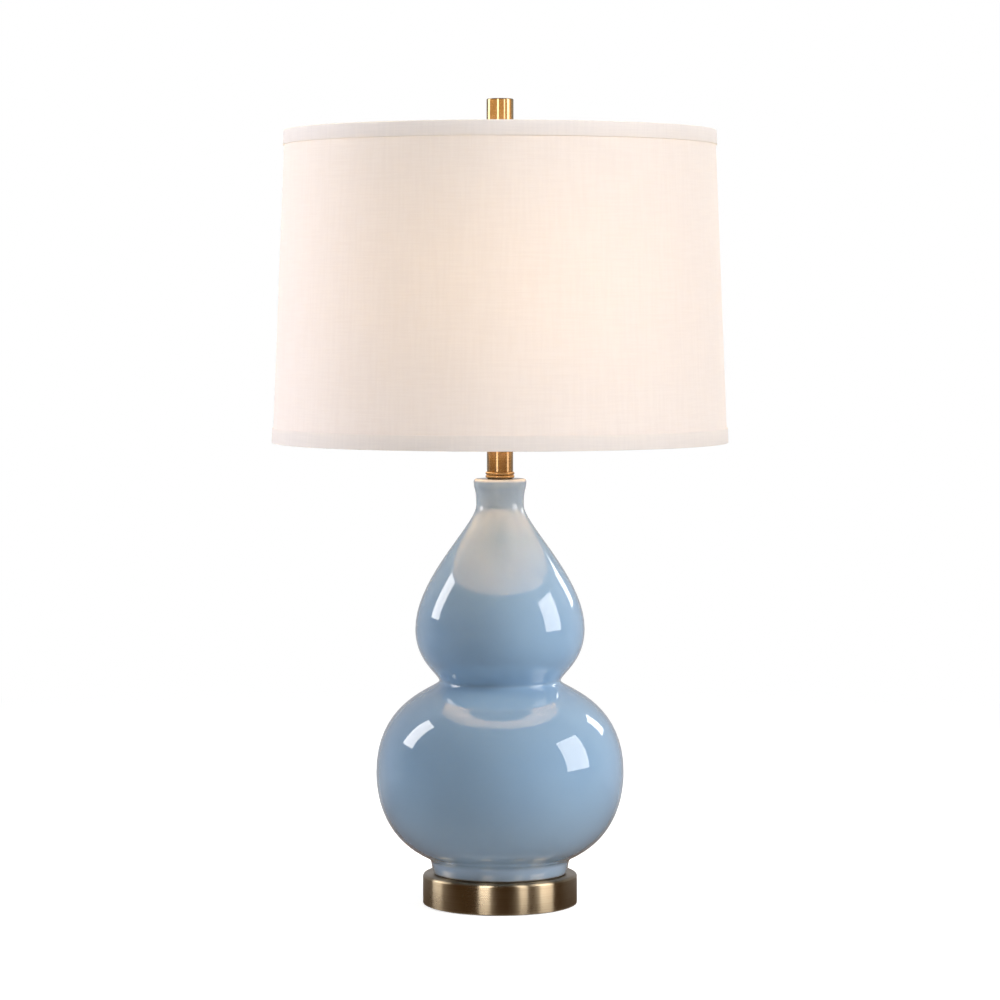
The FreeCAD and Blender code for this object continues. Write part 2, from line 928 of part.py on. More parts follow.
def shade_top_frame():
    """The welded ring, arms and hub that carry the shade."""
    frame = wire_ring(top_ring_z)
    hub = washer(hub_r, hub_hole_r, hub_z, hub_top_z)
    frame = frame.fuse(hub)
    level_z = hub_z + hub_thick / 2
    route = rounded_path(
        [
            (point(arm_start_r, level_z), 0),
            (point(arm_level_r, level_z), arm_bend_r),
            (point(ring_r(top_ring_z), top_ring_z), 0),
        ]
    )
    arm = wire_along(route, arm_wire_r)
    for turn in arm_turns():
        turned_arm = arm.copy()
        turned_arm.rotate(Vector(0, 0, 0), Vector(0, 0, 1), turn)
        frame = frame.fuse(turned_arm)
    return frame


def shade_bottom_ring():
    return wire_ring(bottom_ring_z)


def shade_liner():
    return cone_wall(shade_liner_depth, liner_thick, wall_bottom_z, wall_top_z)


def shade_fabric():
    return cone_wall(fabric_depth, fabric_thick, wall_bottom_z, wall_top_z)


def trim(edge_z, inward):
    """Tape folded over an edge of the shade. inward is -1 at the top edge and 1 at the bottom."""
    web_z = edge_z + inward * trim_thick
    band_z = edge_z + inward * trim_band
    fold_z = edge_z + inward * trim_fold
    inner = fold_depth + trim_thick
    return turned_points(
        (shade_r(edge_z), edge_z),
        (shade_r(band_z), band_z),
        (shade_r(band_z) - trim_thick, band_z),
        (shade_r(web_z) - trim_thick, web_z),
        (shade_r(web_z) - fold_depth, web_z),
        (shade_r(fold_z) - fold_depth, fold_z),
        (shade_r(fold_z) - inner, fold_z),
        (shade_r(edge_z) - inner, edge_z),
    )


def top_trim():
    """The top tape, notched on the inside where the arms reach the ring."""
    tape = trim(shade_top_z, -1)
    half_width = arm_wire_r + slip_gap
    low = shade_top_z - trim_fold - cut_margin
    middle = ring_r(top_ring_z)
    inner = middle - ring_wire_r - trim_thick - 2 * cut_margin
    for turn in arm_turns():
        notch = block((inner, middle), (-half_width, half_width), (low, wall_top_z))
        notch.rotate(Vector(0, 0, 0), Vector(0, 0, 1), turn)
        tape = tape.cut(notch)
    return tape


def bottom_trim():
    return trim(shade_bottom_z, 1)


def finial_knob():
    z = finial_z
    top_z = z + finial_height
    bore_r = insert_r + glue_gap
    outline = path(
        (bore_r, z),
        (finial_collar_r, z),
        (finial_collar_r, z + finial_collar_height),
        (finial_neck_r, z + finial_collar_height),
        (finial_neck_r, z + finial_drum_z - finial_flare),
        (finial_r, z + finial_drum_z),
        (finial_r, top_z - finial_top_round),
    )
    outline.append(
        quarter(
            (finial_r - finial_top_round, top_z - finial_top_round),
            finial_top_round,
            (1, 0),
            (0, 1),
        )
    )
    outline += path(
        (finial_r - finial_top_round, top_z),
        (0, top_z),
        (0, z + insert_height + seat_gap),
        (bore_r, z + insert_height + seat_gap),
        (bore_r, z),
    )
    return turned(outline)


def finial_insert():
    """The tapped insert that screws onto the stud."""
    z = finial_z
    bore_r = stud_thread_r + thread_gap
    return turned_points(
        (bore_r, z),
        (insert_r, z),
        (insert_r, z + insert_height),
        (0, z + insert_height),
        (0, z + insert_bore_depth),
        (bore_r, z + insert_bore_depth),
    )


pieces = {
    "base_pad": base_pad(),
    "base_cup": base_cup(),
    "base_weight": base_weight(),
    "cord_bushing": cord_bushing(),
    "base_washer": washer(washer_r, pipe_hole_r, washer_z, recess_top_z),
    "base_lock_washer": washer(lock_washer_r, pipe_hole_r, lock_washer_z, washer_z),
    "base_nut": hex_nut(nut_flats, nut_z, lock_washer_z),
    "foot_gasket": washer(foot_gasket_r, floor_hole_r, base_height, ceramic_z),
    "ceramic_body": ceramic_body(),
    "lamp_pipe": lamp_pipe(),
    "neck_gasket": washer(neck_gasket_r, pipe_hole_r, lip_top_z, neck_ring_z),
    "neck_ring": neck_ring(),
    "neck_tube": neck_tube(),
    "harp_saddle": harp_saddle(),
    "neck_nut": hex_nut(thin_nut_flats, saddle_top_z, socket_z),
    "socket_cap": socket_cap(),
    "cap_set_screw": cap_set_screw(),
    "socket_shell": socket_shell(),
    "socket_liner": socket_liner(),
    "socket_core": socket_core(),
    "screw_shell": screw_shell(),
    "centre_contact": centre_contact(),
    "terminal_screws": terminal_screws(),
    "switch_shaft": switch_shaft(),
    "switch_knob": switch_knob(),
    "bulb_tip": bulb_tip(),
    "bulb_insulator": bulb_insulator(),
    "bulb_cap": bulb_cap(),
    "bulb_glass": bulb_glass_wall(),
    "bulb_stem": bulb_stem(),
    "bulb_filament": bulb_filament(),
    "harp_bow": harp_bow(),
    "harp_sleeve_left": harp_sleeve(-1),
    "harp_sleeve_right": harp_sleeve(1),
    "harp_stud": harp_stud(),
    "shade_top_frame": shade_top_frame(),
    "shade_bottom_ring": shade_bottom_ring(),
    "shade_liner": shade_liner(),
    "shade_fabric": shade_fabric(),
    "shade_top_trim": top_trim(),
    "shade_bottom_trim": bottom_trim(),
    "finial_knob": finial_knob(),
    "finial_insert": finial_insert(),
}

os.makedirs("parts", exist_ok=True)
for name, shape in pieces.items():
    if not shape.isValid():
        raise RuntimeError(f"{name} isn't a valid shape")
    shape.exportStep(f"parts/{name}.step")
    print(f"{name}: {len(shape.Solids)} solid, {shape.Volume / 1000:.2f} cm3")
print(f"overall height {overall_height:.2f}, bulb from {bulb_z:.2f}")
print(f"shade from {shade_bottom_z:.2f} to {shade_top_z:.2f}")
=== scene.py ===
"""The double gourd table lamp: its modelled pieces, finishes, stage and camera."""

import logging
import math
from collections.abc import Callable, Iterator, Sequence
from contextlib import contextmanager
from dataclasses import dataclass
from enum import Enum
from functools import cached_property

import bmesh
import bpy
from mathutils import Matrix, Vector


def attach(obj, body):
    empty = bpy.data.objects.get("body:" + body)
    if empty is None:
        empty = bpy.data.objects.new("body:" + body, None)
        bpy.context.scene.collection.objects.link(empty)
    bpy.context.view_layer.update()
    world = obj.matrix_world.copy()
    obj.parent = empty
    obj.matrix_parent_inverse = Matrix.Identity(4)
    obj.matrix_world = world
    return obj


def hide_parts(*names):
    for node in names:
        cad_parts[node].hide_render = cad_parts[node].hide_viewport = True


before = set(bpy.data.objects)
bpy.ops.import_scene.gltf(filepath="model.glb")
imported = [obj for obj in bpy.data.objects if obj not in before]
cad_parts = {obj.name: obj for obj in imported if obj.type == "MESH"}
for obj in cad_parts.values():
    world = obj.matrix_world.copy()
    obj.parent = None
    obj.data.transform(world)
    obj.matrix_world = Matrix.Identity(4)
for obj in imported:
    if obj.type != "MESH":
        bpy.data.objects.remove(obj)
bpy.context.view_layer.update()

logging.basicConfig(level=logging.INFO, format="%(message)s")
log = logging.getLogger("lamp")

MM = 0.001  # in metres
DOUBLED = 1e-6  # metres within which two points are one
SHARP = 0.6  # radians past which an edge is rounded
QUARTER_PULL = 0.5523  # a quarter circle's handle, as a share of its radius
Colour = tuple[float, float, float]
Spot = tuple[float, ...]
Piece = bpy.types.Object
Socket = bpy.types.NodeSocket
Feed = float | Colour | Socket
Feeds = dict[str | int, Feed]
MADE: dict[str, bpy.types.Material] = {}
WHITE: Colour = (1.0, 1.0, 1.0)


class Pick(Enum):
    """The mesh parts that an edit selects."""

    VERTS = "VERT"
    EDGES = "EDGE"
    FACES = "FACE"


class Join(Enum):
    """How one solid is combined with another."""

    LESS = "DIFFERENCE"
    SHARED = "INTERSECT"


class Grain(Enum):
    """The direction of fine lines on a metal."""

    TURNED = "turned"
    DRAWN = "drawn"


def deselect() -> None:
    """Leave nothing selected."""
    bpy.ops.object.select_all(action="DESELECT")


def added(operator: Callable[..., set[str]], name: str, **settings: object) -> Piece:
    """Add an object and name it. A mesh gets its place put into its points.

    Args:
        operator: The bpy.ops call that adds it.
        name: The piece's name.
        settings: The operator's own settings.

    Returns:
        The new object.
    """
    deselect()
    operator(**settings)
    piece = bpy.context.object
    piece.name = piece.data.name = name
    if piece.type == "MESH":
        bpy.ops.object.transform_apply(location=True, rotation=True, scale=True)
    return piece


def alone(piece: Piece) -> None:
    """Make a piece the only one selected, and active.

    Args:
        piece: The object.
    """
    deselect()
    piece.select_set(True)
    bpy.context.view_layer.objects.active = piece


@contextmanager
def edit(piece: Piece, pick: Pick) -> Iterator[None]:
    """Hold a piece in edit mode with nothing selected.

    Args:
        piece: The mesh object.
        pick: What the edit selects.

    Returns:
        The context that the edit runs in.
    """
    alone(piece)
    bpy.ops.object.mode_set(mode="EDIT")
    bpy.ops.mesh.select_mode(type=pick.value)
    bpy.ops.mesh.select_all(action="DESELECT")
    yield
    bpy.ops.object.mode_set(mode="OBJECT")


def select(piece: Piece, pick: Pick, where: Callable[[Vector, Vector], bool]) -> None:
    """Select parts of a piece in edit mode by their place or normal.

    Args:
        piece: The mesh object being edited.
        pick: The kind of part.
        where: Told a part's middle in millimetres and its normal, says whether it is wanted.
    """
    mesh = bmesh.from_edit_mesh(piece.data)
    mesh.normal_update()
    parts = {Pick.VERTS: mesh.verts, Pick.EDGES: mesh.edges, Pick.FACES: mesh.faces}[pick]
    for part in parts:
        corners = [part] if pick is Pick.VERTS else list(part.verts)
        middle = sum((corner.co for corner in corners), Vector()) / len(corners) / MM
        normal = part.normal if pick is Pick.FACES else corners[0].normal
        if where(middle, normal):
            part.select_set(True)
    mesh.select_flush_mode()
    bmesh.update_edit_mesh(piece.data)


def mend() -> None:
    """Merge doubled points of the piece in edit mode and turn its faces outward."""
    bpy.ops.mesh.select_all(action="SELECT")
    bpy.ops.mesh.remove_doubles(threshold=DOUBLED)
    bpy.ops.mesh.normals_make_consistent(inside=False)


def shaped(piece: Piece, kind: str, **settings: object) -> Piece:
    """Put a modifier on a piece and apply it.

    Args:
        piece: The mesh object.
        kind: The modifier's type.
        settings: The modifier's own settings.

    Returns:
        The same object.
    """
    alone(piece)
    modifier = piece.modifiers.new(kind.lower(), kind)
    for key, value in settings.items():
        setattr(modifier, key, value)
    bpy.ops.object.modifier_apply(modifier=modifier.name)
    return piece


def cut(piece: Piece, cutter: Piece, how: Join = Join.LESS) -> Piece:
    """Combine a piece with a cutter, which is then thrown away.

    Args:
        piece: The piece that stays.
        cutter: The other solid.
        how: Whether the cutter is taken away or only the shared part stays.

    Returns:
        The piece.
    """
    shaped(piece, "BOOLEAN", object=cutter, operation=how.value, solver="EXACT")
    bpy.data.objects.remove(cutter)
    return piece


def joined(name: str, *parts: Piece) -> Piece:
    """Join parts into the first of them.

    Args:
        name: The name of the whole.
        parts: The mesh objects.

    Returns:
        The joined object.
    """
    alone(parts[0])
    for part in parts:
        part.select_set(True)
    bpy.ops.object.join()
    parts[0].name = parts[0].data.name = name
    return parts[0]


def smooth(piece: Piece, angle: float = 35.0) -> Piece:
    """Shade a piece smooth, apart from its sharp edges.

    Args:
        piece: The mesh object.
        angle: The least angle of a sharp edge, in degrees.

    Returns:
        The same object.
    """
    alone(piece)
    bpy.ops.object.shade_smooth_by_angle(angle=math.radians(angle))
    return piece


def eased(piece: Piece, width: float) -> Piece:
    """Round a piece's sharp edges by width, in millimetres."""
    look = {"segments": 2, "limit_method": "ANGLE", "angle_limit": SHARP}
    return shaped(piece, "BEVEL", width=width * MM, **look)


def block(name: str, low: Spot, high: Spot) -> Piece:
    """Add a box between two corners.

    Args:
        name: The piece's name.
        low: The corner with the least coordinates, in millimetres.
        high: The opposite corner.

    Returns:
        The box.
    """
    middle = [(a + b) / 2 * MM for a, b in zip(low, high)]
    size = [(b - a) * MM for a, b in zip(low, high)]
    return added(bpy.ops.mesh.primitive_cube_add, name, size=1, location=middle, scale=size)


@dataclass(frozen=True)
class Spindle:
    """An axis that outlines are turned round, in millimetres."""

    centre: Vector = Vector((0, 0, 0))
    along: Vector = Vector((0, 0, 1))
    out: Vector = Vector((1, 0, 0))

    def at(self, r: float, z: float) -> Vector:
        """The place of a radius and a height on the spindle, in metres."""
        return (self.centre + self.out * r + self.along * z) * MM


UPRIGHT = Spindle()


@dataclass(frozen=True)
class Stop:
    """A point of an outline with its two handles, in millimetres. None is a straight side."""

    place: Vector
    back: Vector | None = None
    ahead: Vector | None = None

    def moved(self, change: Callable[[Vector], Vector]) -> "Stop":
        """The point after a change to its place and its handles."""
        handles = (spot and change(spot) for spot in (self.back, self.ahead))
        return Stop(change(self.place), *handles)


def stop(r: float, z: float, back: Spot | None = None, ahead: Spot | None = None) -> Stop:
    """A point of a turned outline from plain numbers."""
    return Stop(Vector((r, z)), back and Vector(back), ahead and Vector(ahead))


def upright(r: float, z: float, back_z: float | None, ahead_z: float | None) -> Stop:
    """A point where a turned outline runs upright, with the heights of its handles."""
    back, ahead = (None if pull is None else (r, pull) for pull in (back_z, ahead_z))
    return stop(r, z, back, ahead)


def in_metres(stops: Sequence[Stop]) -> list[Stop]:
    """Stops in metres from stops in millimetres."""
    return [point.moved(lambda spot: spot * MM) for point in stops]


def filleted(corners: Sequence[Spot], closed: bool = False) -> list[Stop]:
    """Turn corners into outline points, with an arc at each corner that has a radius.

    Args:
        corners: Coordinates followed by the corner's radius.
        closed: Whether the last corner leads back to the first.

    Returns:
        The outline's points in order.
    """
    stops: list[Stop] = []
    for index, corner in enumerate(corners):
        here, bend = Vector(corner[:-1]), corner[-1]
        inner = closed or 0 < index < len(corners) - 1
        if not bend or not inner:
            stops.append(Stop(here))
            continue
        before = (Vector(corners[index - 1][:-1]) - here).normalized()
        after = (Vector(corners[(index + 1) % len(corners)][:-1]) - here).normalized()
        half = before.angle(after) / 2
        start = here + before * (bend / math.tan(half))
        end = here + after * (bend / math.tan(half))
        pull = bend * 4 / 3 * math.tan((math.pi / 2 - half) / 2)
        stops.append(Stop(start, None, start - before * pull))
        stops.append(Stop(end, end - after * pull, None))
    return stops


def drawn_line(
    name: str, stops: Sequence[Stop], fine: int, closed: bool, **look: object
) -> Piece:
    """Draw a line through stops and make it a mesh.

    Args:
        name: The object's name.
        stops: Its points in metres.
        fine: How many steps each curved run has.
        closed: Whether the line closes.
        look: Settings of the curve, such as its bevel.

    Returns:
        The mesh object.
    """
    line = added(bpy.ops.curve.primitive_bezier_curve_add, name)
    line.data.dimensions = "3D"
    line.data.resolution_u = fine
    for key, value in look.items():
        setattr(line.data, key, value)
    spline = line.data.splines[0]
    spline.bezier_points.add(len(stops) - len(spline.bezier_points))
    spline.use_cyclic_u = closed
    for index, (knot, spot) in enumerate(zip(spline.bezier_points, stops)):
        last, following = stops[index - 1].place, stops[(index + 1) % len(stops)].place
        knot.handle_left_type = "FREE" if spot.back else "VECTOR"
        knot.handle_right_type = "FREE" if spot.ahead else "VECTOR"
        knot.co = spot.place
        knot.handle_left = spot.back or spot.place.lerp(last, 1 / 3)
        knot.handle_right = spot.ahead or spot.place.lerp(following, 1 / 3)
    alone(line)
    bpy.ops.object.convert(target="MESH")
    return bpy.context.object


def turned(
    name: str,
    stops: Sequence[Stop],
    closed: bool = False,
    fine: int = 6,
    steps: int = 96,
    spindle: Spindle = UPRIGHT,
    sweep: float = 360.0,
) -> Piece:
    """Spin an outline round a spindle.

    Args:
        name: The piece's name.
        stops: The outline in millimetres, from the spindle or closed.
        closed: Whether the outline closes on itself.
        fine: How many steps each curved run has.
        steps: How many steps the turn has.
        spindle: What it turns round.
        sweep: The turn in degrees.

    Returns:
        The mesh object.
    """
    placed = [point.moved(lambda spot: spindle.at(*spot)) for point in stops]
    piece = drawn_line(name, placed, fine, closed)
    centre, angle = spindle.centre * MM, math.radians(sweep)
    with edit(piece, Pick.VERTS):
        bpy.ops.mesh.select_all(action="SELECT")
        bpy.ops.mesh.spin(steps=steps, angle=angle, center=centre, axis=spindle.along)
        mend()
        if sweep < 360:
            bpy.ops.mesh.select_all(action="DESELECT")
            bpy.ops.mesh.select_non_manifold()
            bpy.ops.mesh.fill_holes(sides=0)
            mend()
    return piece


def turned_ring(name: str, corners: Sequence[Spot], fine: int, steps: int = 96) -> Piece:
    """Spin a closed outline of rounded corners round the lamp's axis."""
    return turned(name, filleted(corners, True), True, fine, steps)


def bent_wire(name: str, corners: Sequence[Spot], radius: float, fine: int) -> Piece:
    """Bend round wire through corners.

    Args:
        name: The piece's name.
        corners: x, y, z and bend radius of each corner, in millimetres.
        radius: The wire's radius in millimetres.
        fine: How many steps each bend has.

    Returns:
        The mesh object with closed ends.
    """
    look = {"bevel_depth": radius * MM, "bevel_resolution": 4, "use_fill_caps": True}
    wire = drawn_line(name, in_metres(filleted(corners)), fine, False, **look)
    with edit(wire, Pick.VERTS):
        mend()
    return wire


def bored(piece: Piece, radius: float, start: Spot, end: Spot) -> Piece:
    """Drill a round hole through a piece.

    Args:
        piece: The piece.
        radius: The hole's radius in millimetres.
        start: One end of the hole.
        end: The other end.

    Returns:
        The piece.
    """
    first, last = Vector(start) * MM, Vector(end) * MM
    way = last - first
    drill = added(
        bpy.ops.mesh.primitive_cylinder_add,
        "drill",
        vertices=64,
        radius=radius * MM,
        depth=way.length,
        location=(first + last) / 2,
        rotation=way.to_track_quat("Z", "Y").to_euler(),
    )
    return cut(piece, drill)


def rippled(piece: Piece, height: float, length: float) -> Piece:
    """Give a piece soft unevenness.

    Args:
        piece: The piece.
        height: How far its surface wanders in all, in millimetres.
        length: The size of the ripples in millimetres.

    Returns:
        The piece.
    """
    texture = bpy.data.textures.new(f"{piece.name}_ripple", "CLOUDS")
    texture.noise_scale = length * MM
    shaped(piece, "DISPLACE", texture=texture, strength=height * MM, mid_level=0.5)
    bpy.data.textures.remove(texture)
    return piece


class Graph:
    """The node tree of a material or a world, built a node at a time."""

    def __init__(self, name: str, kind: str = "Material") -> None:
        """Start an empty tree.

        Args:
            name: The name of the material or world.
            kind: Material or World.
        """
        self.kind = kind
        self.owner = (bpy.data.worlds if kind == "World" else bpy.data.materials).new(name)
        self.owner.use_nodes = True
        self.tree = self.owner.node_tree
        self.tree.nodes.clear()

    @cached_property
    def place(self) -> Socket:
        """The object's own coordinates."""
        return self.add("ShaderNodeTexCoord").outputs["Object"]

    def feed(self, socket: Socket, value: Feed) -> None:
        """Link a node's output to a socket, or set a plain value there.

        Args:
            socket: The input socket.
            value: What it is given.
        """
        if isinstance(value, bpy.types.NodeSocket):
            self.tree.links.new(value, socket)
        else:
            socket.default_value = (*value, 1.0) if socket.type == "RGBA" else value

    def add(self, kind: str, feeds: Feeds | None = None, **settings: object) -> bpy.types.Node:
        """Add a node.

        Args:
            kind: The node's type.
            feeds: What goes into its sockets, by name or number.
            settings: The node's own options.

        Returns:
            The node.
        """
        node = self.tree.nodes.new(kind)
        for key, value in settings.items():
            setattr(node, key, value)
        for key, value in (feeds or {}).items():
            self.feed(node.inputs[key], value)
        return node

    def out(self, kind: str, feeds: Feeds | None = None, **settings: object) -> Socket:
        """Add a node and give its first output."""
        return self.add(kind, feeds, **settings).outputs[0]

    def stretched(self, scale: Spot) -> Socket:
        """The object's coordinates scaled along each axis."""
        return self.out("ShaderNodeMapping", {"Vector": self.place, "Scale": scale})

    def noise(self, scale: float, detail: float = 3.0, place: Socket | None = None) -> Socket:
        """Noise from 0 to 1.

        Args:
            scale: Its frequency per metre.
            detail: How many finer layers it has.
            place: The coordinates it reads, or None for the object's own.

        Returns:
            The noise.
        """
        feeds = {"Vector": place or self.place, "Scale": scale, "Detail": detail, "Roughness": 0.55}
        return self.add("ShaderNodeTexNoise", feeds).outputs["Fac"]

    def calc(self, operation: str, first: Feed, second: Feed = 0.0) -> Socket:
        """Arithmetic on two values."""
        return self.out("ShaderNodeMath", {0: first, 1: second}, operation=operation)

    def ranged(
        self, value: Socket, low: float, high: float, first: float = 0.0, last: float = 1.0
    ) -> Socket:
        """Take low to high smoothly onto first to last.

        Args:
            value: The value.
            low: Where it starts.
            high: Where it ends.
            first: The result at low.
            last: The result at high.

        Returns:
            The new value.
        """
        feeds = {"Value": value, "From Min": low, "From Max": high, "To Min": first, "To Max": last}
        return self.out("ShaderNodeMapRange", feeds, interpolation_type="SMOOTHSTEP")

    def mix(self, share: Feed, first: Feed, second: Feed) -> Socket:
        """Mix two colours.

        Args:
            share: The share of the second, from 0 to 1.
            first: One colour.
            second: The other.

        Returns:
            The mixed colour.
        """
        node = self.add("ShaderNodeMix", data_type="RGBA")
        inputs = {socket.name: socket for socket in node.inputs if socket.enabled}
        for name, value in (("Factor", share), ("A", first), ("B", second)):
            self.feed(inputs[name], value)
        return next(socket for socket in node.outputs if socket.enabled)

    def blend(self, share: Feed, first: Socket, second: Socket) -> Socket:
        """Mix two shaders by a share of the second."""
        return self.out("ShaderNodeMixShader", {0: share, 1: first, 2: second})

    def split(self) -> tuple[Socket, Socket, Socket]:
        """The object's x, y and z."""
        return tuple(self.add("ShaderNodeSeparateXYZ", {0: self.place}).outputs)

    def turned_place(self) -> Socket:
        """Coordinates that are the same all the way round.

        Returns:
            The radius as x and the height as z.
        """
        x, y, z = self.split()
        squares = self.calc("ADD", self.calc("MULTIPLY", x, x), self.calc("MULTIPLY", y, y))
        return self.out("ShaderNodeCombineXYZ", {0: self.calc("SQRT", squares), 2: z})

    def bump(self, height: Socket, distance: float, normal: Socket | None = None) -> Socket:
        """A normal from a height.

        Args:
            height: The height from 0 to 1.
            distance: How many millimetres 1 is.
            normal: A normal that it adds to, or None.

        Returns:
            The normal.
        """
        feeds = {"Height": height, "Distance": distance * MM, "Strength": 1.0}
        if normal is not None:
            feeds["Normal"] = normal
        return self.out("ShaderNodeBump", feeds)

    def seen(self) -> Socket:
        """Tell the rays of the camera, of gloss and of glass from the others.

        Returns:
            1 for those rays and 0 for the others.
        """
        path = self.add("ShaderNodeLightPath")
        total = path.outputs["Is Camera Ray"]
        for name in ("Is Glossy Ray", "Is Transmission Ray"):
            total = self.calc("MAXIMUM", total, path.outputs[name])
        return total

    def principled(self, **feeds: Feed) -> Socket:
        """A Principled shader, fed by socket names with _ for spaces."""
        named = {key.replace("_", " "): value for key, value in feeds.items()}
        return self.out("ShaderNodeBsdfPrincipled", named)

    def open_behind(self, shader: Socket) -> Socket:
        """Make a shader clear from behind, so that light within a sheet leaves it freely."""
        back = self.add("ShaderNodeNewGeometry").outputs["Backfacing"]
        return self.blend(back, shader, self.out("ShaderNodeBsdfTransparent"))

    def done(self, shader: Socket) -> bpy.types.Material | bpy.types.World:
        """Send a shader to the surface of the material or world, and give that."""
        self.add(f"ShaderNodeOutput{self.kind}", {"Surface": shader})
        return self.owner


@dataclass(frozen=True)
class Finish:
    """A finish. Its material is made once and shared."""

    name: str

    def material(self) -> bpy.types.Material:
        """Give the finish's material, built at its first use.

        Returns:
            The material.
        """
        if self.name not in MADE:
            MADE[self.name] = self.made()
        return MADE[self.name]

    def made(self) -> bpy.types.Material:
        """Build the material."""
        raise NotImplementedError


@dataclass(frozen=True)
class Glaze(Finish):
    """Glossy blue glaze, paler at the lip, that ends above bare clay, with painted light that makes
    it paler at the foot and the neck and painted shade that greys it low on the lower lobe.
    """

    name: str = "glossy_blue_glaze"
    body: Colour = (0.285, 0.450, 0.645)
    deep: Colour = (0.257, 0.412, 0.612)
    greyer: Colour = (0.275, 0.395, 0.530)
    edge: Colour = (0.66, 0.72, 0.84)
    # Painted light: the paler tone laid on the neck and the foot.
    painted_light: Colour = (0.385, 0.520, 0.690)
    clay: Colour = (0.20, 0.185, 0.17)
    # Painted shade band in metres: greyer towards the bottom of the lower lobe.
    painted_shade_band: tuple[float, float] = (0.05, 0.13)
    # Painted light bands in metres: paler at the foot and at the neck.
    foot_painted_light_band: tuple[float, float] = (0.034, 0.040)
    neck_painted_light_band: tuple[float, float] = (0.300, 0.330)
    foot_z: float = 26.5
    lip_z: float = 349.2
    ragged: float = 1.2
    peel: float = 0.018
    throwing: float = 0.10

    def made(self) -> bpy.types.Material:
        """Build the glaze from soft clouds of tone, height bands of painted light and painted
        shade, and a faint orange peel.

        Returns:
            The material.
        """
        g = Graph(self.name)
        z = g.split()[2]
        tone = g.mix(g.ranged(g.noise(9.0), 0.35, 0.7), self.body, self.deep)
        # Painted shade: greyer towards the bottom of the lower lobe.
        tone = g.mix(g.ranged(z, *self.painted_shade_band, 1.0, 0.0), tone, self.greyer)
        # Painted light: paler at the neck, which the shade's shadow darkens, and at the foot, where
        # the floor's bounce falls.
        tone = g.mix(g.ranged(z, *self.neck_painted_light_band), tone, self.painted_light)
        tone = g.mix(g.ranged(z, *self.foot_painted_light_band, 1.0, 0.0), tone, self.painted_light)
        tone = g.mix(g.ranged(g.noise(900.0, 1.0), 0.66, 0.74, 0.0, 0.35), tone, self.greyer)
        wander = g.calc("MULTIPLY", g.calc("SUBTRACT", g.noise(60.0), 0.5), self.ragged * MM)
        height = g.calc("ADD", z, wander)
        lip = g.ranged(height, (self.lip_z - 1.6) * MM, self.lip_z * MM, 0.0, 0.8)
        foot = g.ranged(height, self.foot_z * MM, (self.foot_z + 1.3) * MM, 1.0, 0.0)
        tone = g.mix(foot, g.mix(lip, tone, self.edge), self.clay)
        gloss = g.ranged(g.noise(30.0), 0.2, 0.8, 0.004, 0.014)
        rough = g.calc("ADD", g.calc("MULTIPLY", foot, 0.55), gloss)
        peel = g.bump(g.noise(95.0, 2.0), self.peel)
        skin = g.bump(g.noise(14.0, 1.0, g.turned_place()), self.throwing, peel)
        feeds = {"Base_Color": tone, "Roughness": rough, "Normal": skin, "IOR": 1.62}
        return g.done(g.principled(**feeds, Coat_Weight=1.0, Coat_Roughness=0.005))


@dataclass(frozen=True)
class Metal(Finish):
    """Bare, plated or lacquered metal with fine working lines and uneven age."""

    bright: Colour
    dark: Colour
    roughness: float
    lines: float
    aged: float
    grain: Grain = Grain.TURNED
    drawn_out: float = 0.0

    def made(self) -> bpy.types.Material:
        """Build the metal from blotches, scratches and lines along its grain.

        Returns:
            The material.
        """
        g = Graph(self.name)
        place = g.turned_place() if self.grain is Grain.TURNED else g.stretched((1.0, 1.0, 0.15))
        lines, blotches = g.noise(2600.0, 2.0, place), g.noise(28.0, 5.0)
        age = g.ranged(blotches, 0.62 - 0.3 * self.aged, 0.80, 0.0, self.aged)
        tone = g.mix(age, self.bright, self.dark)
        tone = g.mix(g.ranged(lines, 0.45, 0.8, 0.0, 0.35), tone, self.dark)
        coarse = g.ranged(g.noise(900.0, 3.0, place), 0.42, 0.62, 0.0, 0.30)
        tone = g.mix(coarse, tone, self.dark)
        swing, scored = (0.06, 0.03) if self.drawn_out else (0.2, 0.06)
        least, most = self.roughness * (1 - swing), self.roughness * (1 + swing)
        rough = g.ranged(blotches, 0.3, 0.7, least, most)
        rough = g.calc("ADD", rough, g.calc("MULTIPLY", lines, scored))
        feeds = {"Base_Color": tone, "Metallic": 1.0, "Roughness": rough}
        feeds["Normal"] = g.bump(lines, self.lines)
        if self.drawn_out:
            tangent = g.out("ShaderNodeTangent", direction_type="RADIAL", axis="Z")
            feeds |= {"Anisotropic": self.drawn_out, "Anisotropic_Rotation": 0.25}
            feeds["Tangent"] = tangent
        return g.done(g.principled(**feeds))


@dataclass(frozen=True)
class Coat(Finish):
    """Paint, plastic, rubber, board or raw iron: a mottled skin with a fine grain."""

    light: Colour
    dark: Colour
    roughness: float
    grain: float
    depth: float
    patches: float

    def made(self) -> bpy.types.Material:
        """Build the coat from patches, a grain and its bump.

        Returns:
            The material.
        """
        g = Graph(self.name)
        patches, grain = g.noise(self.patches, 4.0), g.noise(self.grain, 2.0)
        tone = g.mix(g.ranged(patches, 0.3, 0.7), self.light, self.dark)
        tone = g.mix(g.ranged(grain, 0.5, 0.9, 0.0, 0.4), tone, self.dark)
        most = min(1.0, self.roughness * 1.15)
        rough = g.ranged(patches, 0.2, 0.8, self.roughness * 0.9, most)
        normal = g.bump(grain, self.depth)
        return g.done(g.principled(Base_Color=tone, Roughness=rough, Normal=normal))


